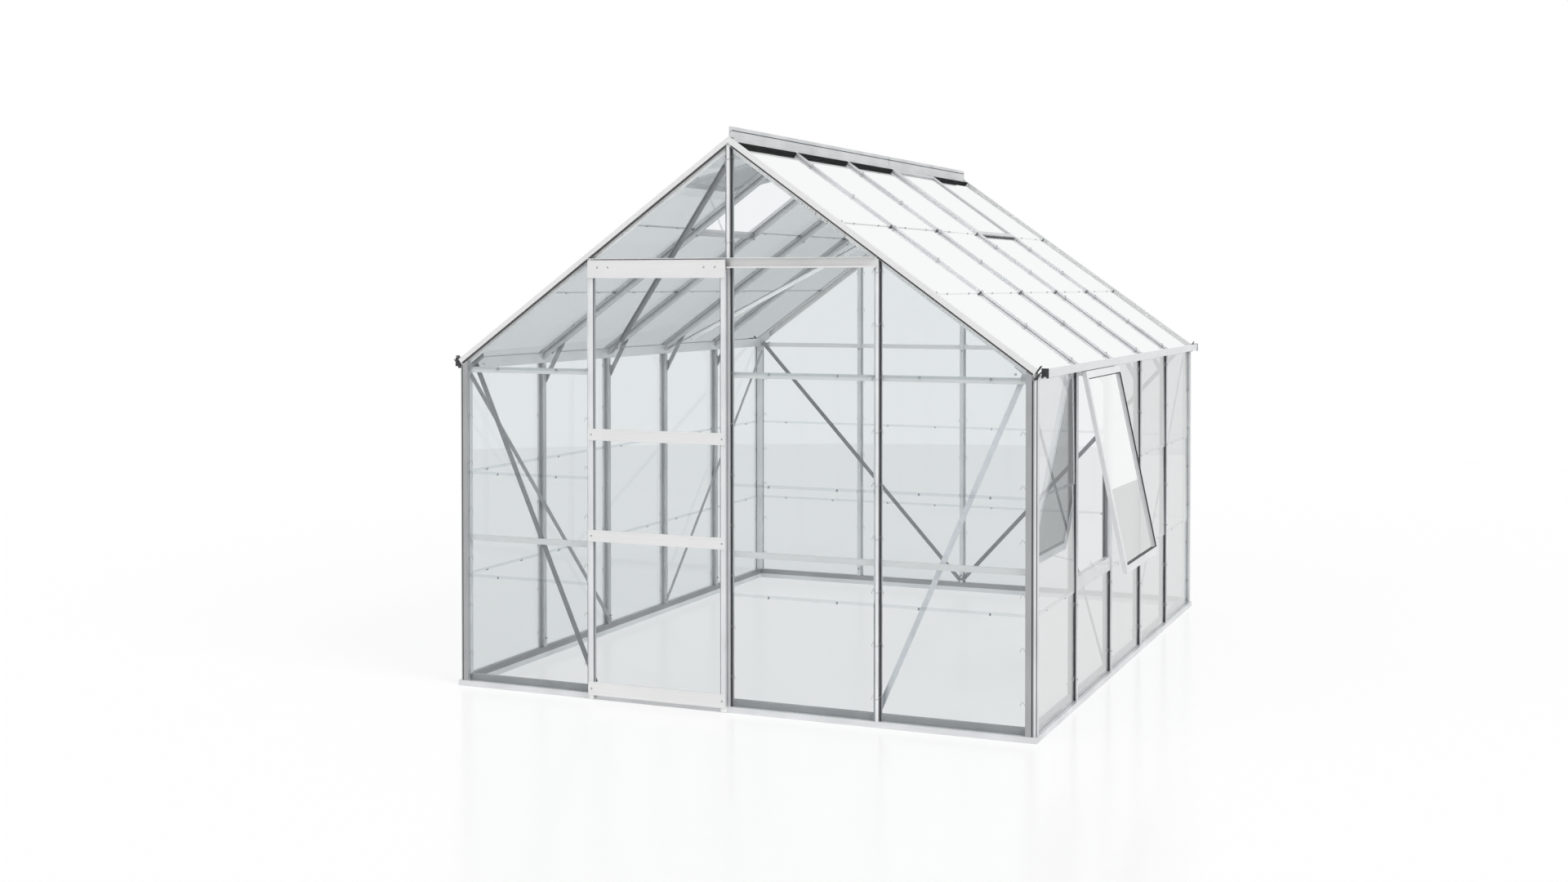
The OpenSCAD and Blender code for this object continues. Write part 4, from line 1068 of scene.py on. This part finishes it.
class GREENHOUSE_OT_vent_seals(bpy.types.Operator):
    """Dark lines along the front edge and under the lower rail of the shut roof vent: painted shadow of the
    vent's edge and of the gap under its rail.
    """
    bl_idname = "greenhouse.vent_seals"
    bl_label = "Vent shadow lines"

    def execute(self, context):
        start = BAY_LINES[RIGHT_VENT_BAY] + BAY_EDGE
        end = BAY_LINES[RIGHT_VENT_BAY + 1] - BAY_EDGE
        plane = PLANES["right_roof"]
        foot = VENT_SILL + 0.0105
        # Painted shadow beside the vent's edge and under its lower rail.
        side = on_plane([(start, 0.045, VENT_SHADOW_LINE_UP), (start, foot - 0.006, VENT_SHADOW_LINE_UP)], plane)
        under = on_plane([(start, foot, 0.0045), (end, foot, 0.0045)], plane)
        shapes = [bar_box(-0.0011, 0.0011, -0.0011, 0.0011, *side, plane[3]),
                  bar_box(-0.0016, 0.0016, -0.0016, 0.0016, *under, plane[3])]
        new_piece("vent_seals", joined(shapes), LOOKS["strip_black"])
        return {"FINISHED"}


class GREENHOUSE_OT_ridge(bpy.types.Operator):
    """Dark strips under the ridge, between the bars, painted as the shadow under the ridge's wings; dark
    lines painted as shade in the ridge's grooves, with a dark line at its joint; and the screws at the
    ridge's ends.
    """
    bl_idname = "greenhouse.ridge"
    bl_label = "Ridge strips"

    def execute(self, context):
        strips = []
        for plane, vent_bay in (("left_roof", LEFT_VENT_BAY), ("right_roof", RIGHT_VENT_BAY)):
            for i in range(5):
                if i == vent_bay:
                    continue
                start = max(BAY_LINES[i] + BAY_EDGE, FRONT_OUT + 0.030)
                end = min(BAY_LINES[i + 1] - BAY_EDGE, REAR_OUT - 0.030)
                # Painted shadow: black strips where the ridge's wings shade the gap over the glass.
                ends = on_plane([(start, 0.0275, 0.0080), (end, 0.0275, 0.0080)], PLANES[plane])
                strips.append(bar_box(-0.0030, 0.0030, -0.0074, 0.0074, *ends, PLANES[plane][2], 0.0012))
        new_piece("ridge_painted_shadow_strips", joined(strips), LOOKS["strip_black"])
        low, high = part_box("ridge")
        # Painted shade in the grooves along the ridge's fin, and a dark line at the fin's joint.
        lines = []
        for side in (-1, 1):
            z = high.z - 0.0155
            lines.append(bar_box(-0.0008, 0.0008, -0.0012, 0.0012, (side * 0.0062, low.y + 0.002, z),
                                 (side * 0.0062, high.y - 0.002, z), (1, 0, 0), 0.0003))
            joint = (side * 0.0063, BAR_YS[2])
            lines.append(bar_box(-0.0009, 0.0009, -0.0012, 0.0012, (*joint, high.z - 0.042),
                                 (*joint, high.z - 0.001), (1, 0, 0), 0.0003))
        new_piece("ridge_groove_shade_and_joint_lines", joined(lines), LOOKS["rubber"])
        screws = []
        for y, way in ((low.y, -1), (high.y, 1)):
            screws.append(revolve([(0.0030, -0.001), (0.0030, 0.0012), (0.0014, 0.0016), (0.0012, 0.006)],
                                  (0, y, high.z - 0.020), (0, way, 0), 10))
        new_piece("ridge_screws", joined(screws), LOOKS["steel"])
        return {"FINISHED"}


class GREENHOUSE_OT_gutter_ends(bpy.types.Operator):
    """Black moulded blades that close the gap between each rafter's foot and the gutter's end."""
    bl_idname = "greenhouse.gutter_ends"
    bl_label = "Gutter end blades"

    def execute(self, context):
        t = np.linspace(0, 1, 9)
        lean = 0.030 * t ** 1.5
        rise = 0.038 * t
        half = 0.0065 * (1 - t) ** 0.8 + 0.0012
        shapes = []
        for side in (-1, 1):
            for y0, y1 in ((FRONT_OUT, FRONT_OUT + 0.004), (REAR_OUT - 0.004, REAR_OUT)):
                centre = np.stack([side * (HALF_W - 0.004 + lean), 0 * t, GUTTER_LOW.z + 0.004 + rise], -1)
                edge = np.stack([half, 0 * half, 0 * half], -1)
                outline = np.concatenate([centre - edge, (centre + edge)[::-1]])
                count = len(outline)
                verts = np.concatenate([outline + (0, y0, 0), outline + (0, y1, 0)])
                i = np.arange(count)
                walls = np.stack([i, (i + 1) % count, (i + 1) % count + count, i + count], -1).tolist()
                shapes.append((verts, walls + [list(range(count))[::-1], list(range(count, 2 * count))]))
        new_piece("gutter_end_blades", joined(shapes), LOOKS["black"])
        return {"FINISHED"}


# ---------------------------------------------------------------- panel and run

PIECES = (GREENHOUSE_OT_stage, GREENHOUSE_OT_finishes, GREENHOUSE_OT_seals, GREENHOUSE_OT_spring_clips,
          GREENHOUSE_OT_lap_clips, GREENHOUSE_OT_bolts, GREENHOUSE_OT_brace_legs, GREENHOUSE_OT_door,
          GREENHOUSE_OT_window, GREENHOUSE_OT_vent_seals, GREENHOUSE_OT_ridge, GREENHOUSE_OT_gutter_ends)


class GREENHOUSE_PT_panel(bpy.types.Panel):
    """Sizes, colours and a button for each group of pieces."""
    bl_idname = "GREENHOUSE_PT_panel"
    bl_label = "Greenhouse"
    bl_space_type = "VIEW_3D"
    bl_region_type = "UI"
    bl_category = "Greenhouse"

    def draw(self, context):
        for group_name in ("greenhouse_sizes", "greenhouse_colours"):
            values = getattr(context.scene, group_name)
            for key in values.__annotations__:
                self.layout.prop(values, key)
        for piece in PIECES:
            self.layout.operator(piece.bl_idname)


CLASSES = (GREENHOUSE_PG_sizes, GREENHOUSE_PG_colours) + PIECES + (GREENHOUSE_PT_panel,)


def register():
    for cls in CLASSES:
        bpy.utils.register_class(cls)
    bpy.types.Scene.greenhouse_sizes = bpy.props.PointerProperty(type=GREENHOUSE_PG_sizes)
    bpy.types.Scene.greenhouse_colours = bpy.props.PointerProperty(type=GREENHOUSE_PG_colours)


def unregister():
    del bpy.types.Scene.greenhouse_colours
    del bpy.types.Scene.greenhouse_sizes
    for cls in reversed(CLASSES):
        bpy.utils.unregister_class(cls)


def main():
    register()
    for piece in PIECES:
        area, name = piece.bl_idname.split(".")
        if getattr(getattr(bpy.ops, area), name)() != {"FINISHED"}:
            raise RuntimeError(piece.bl_label + " did not finish")


if __name__ == "__main__":
    main()
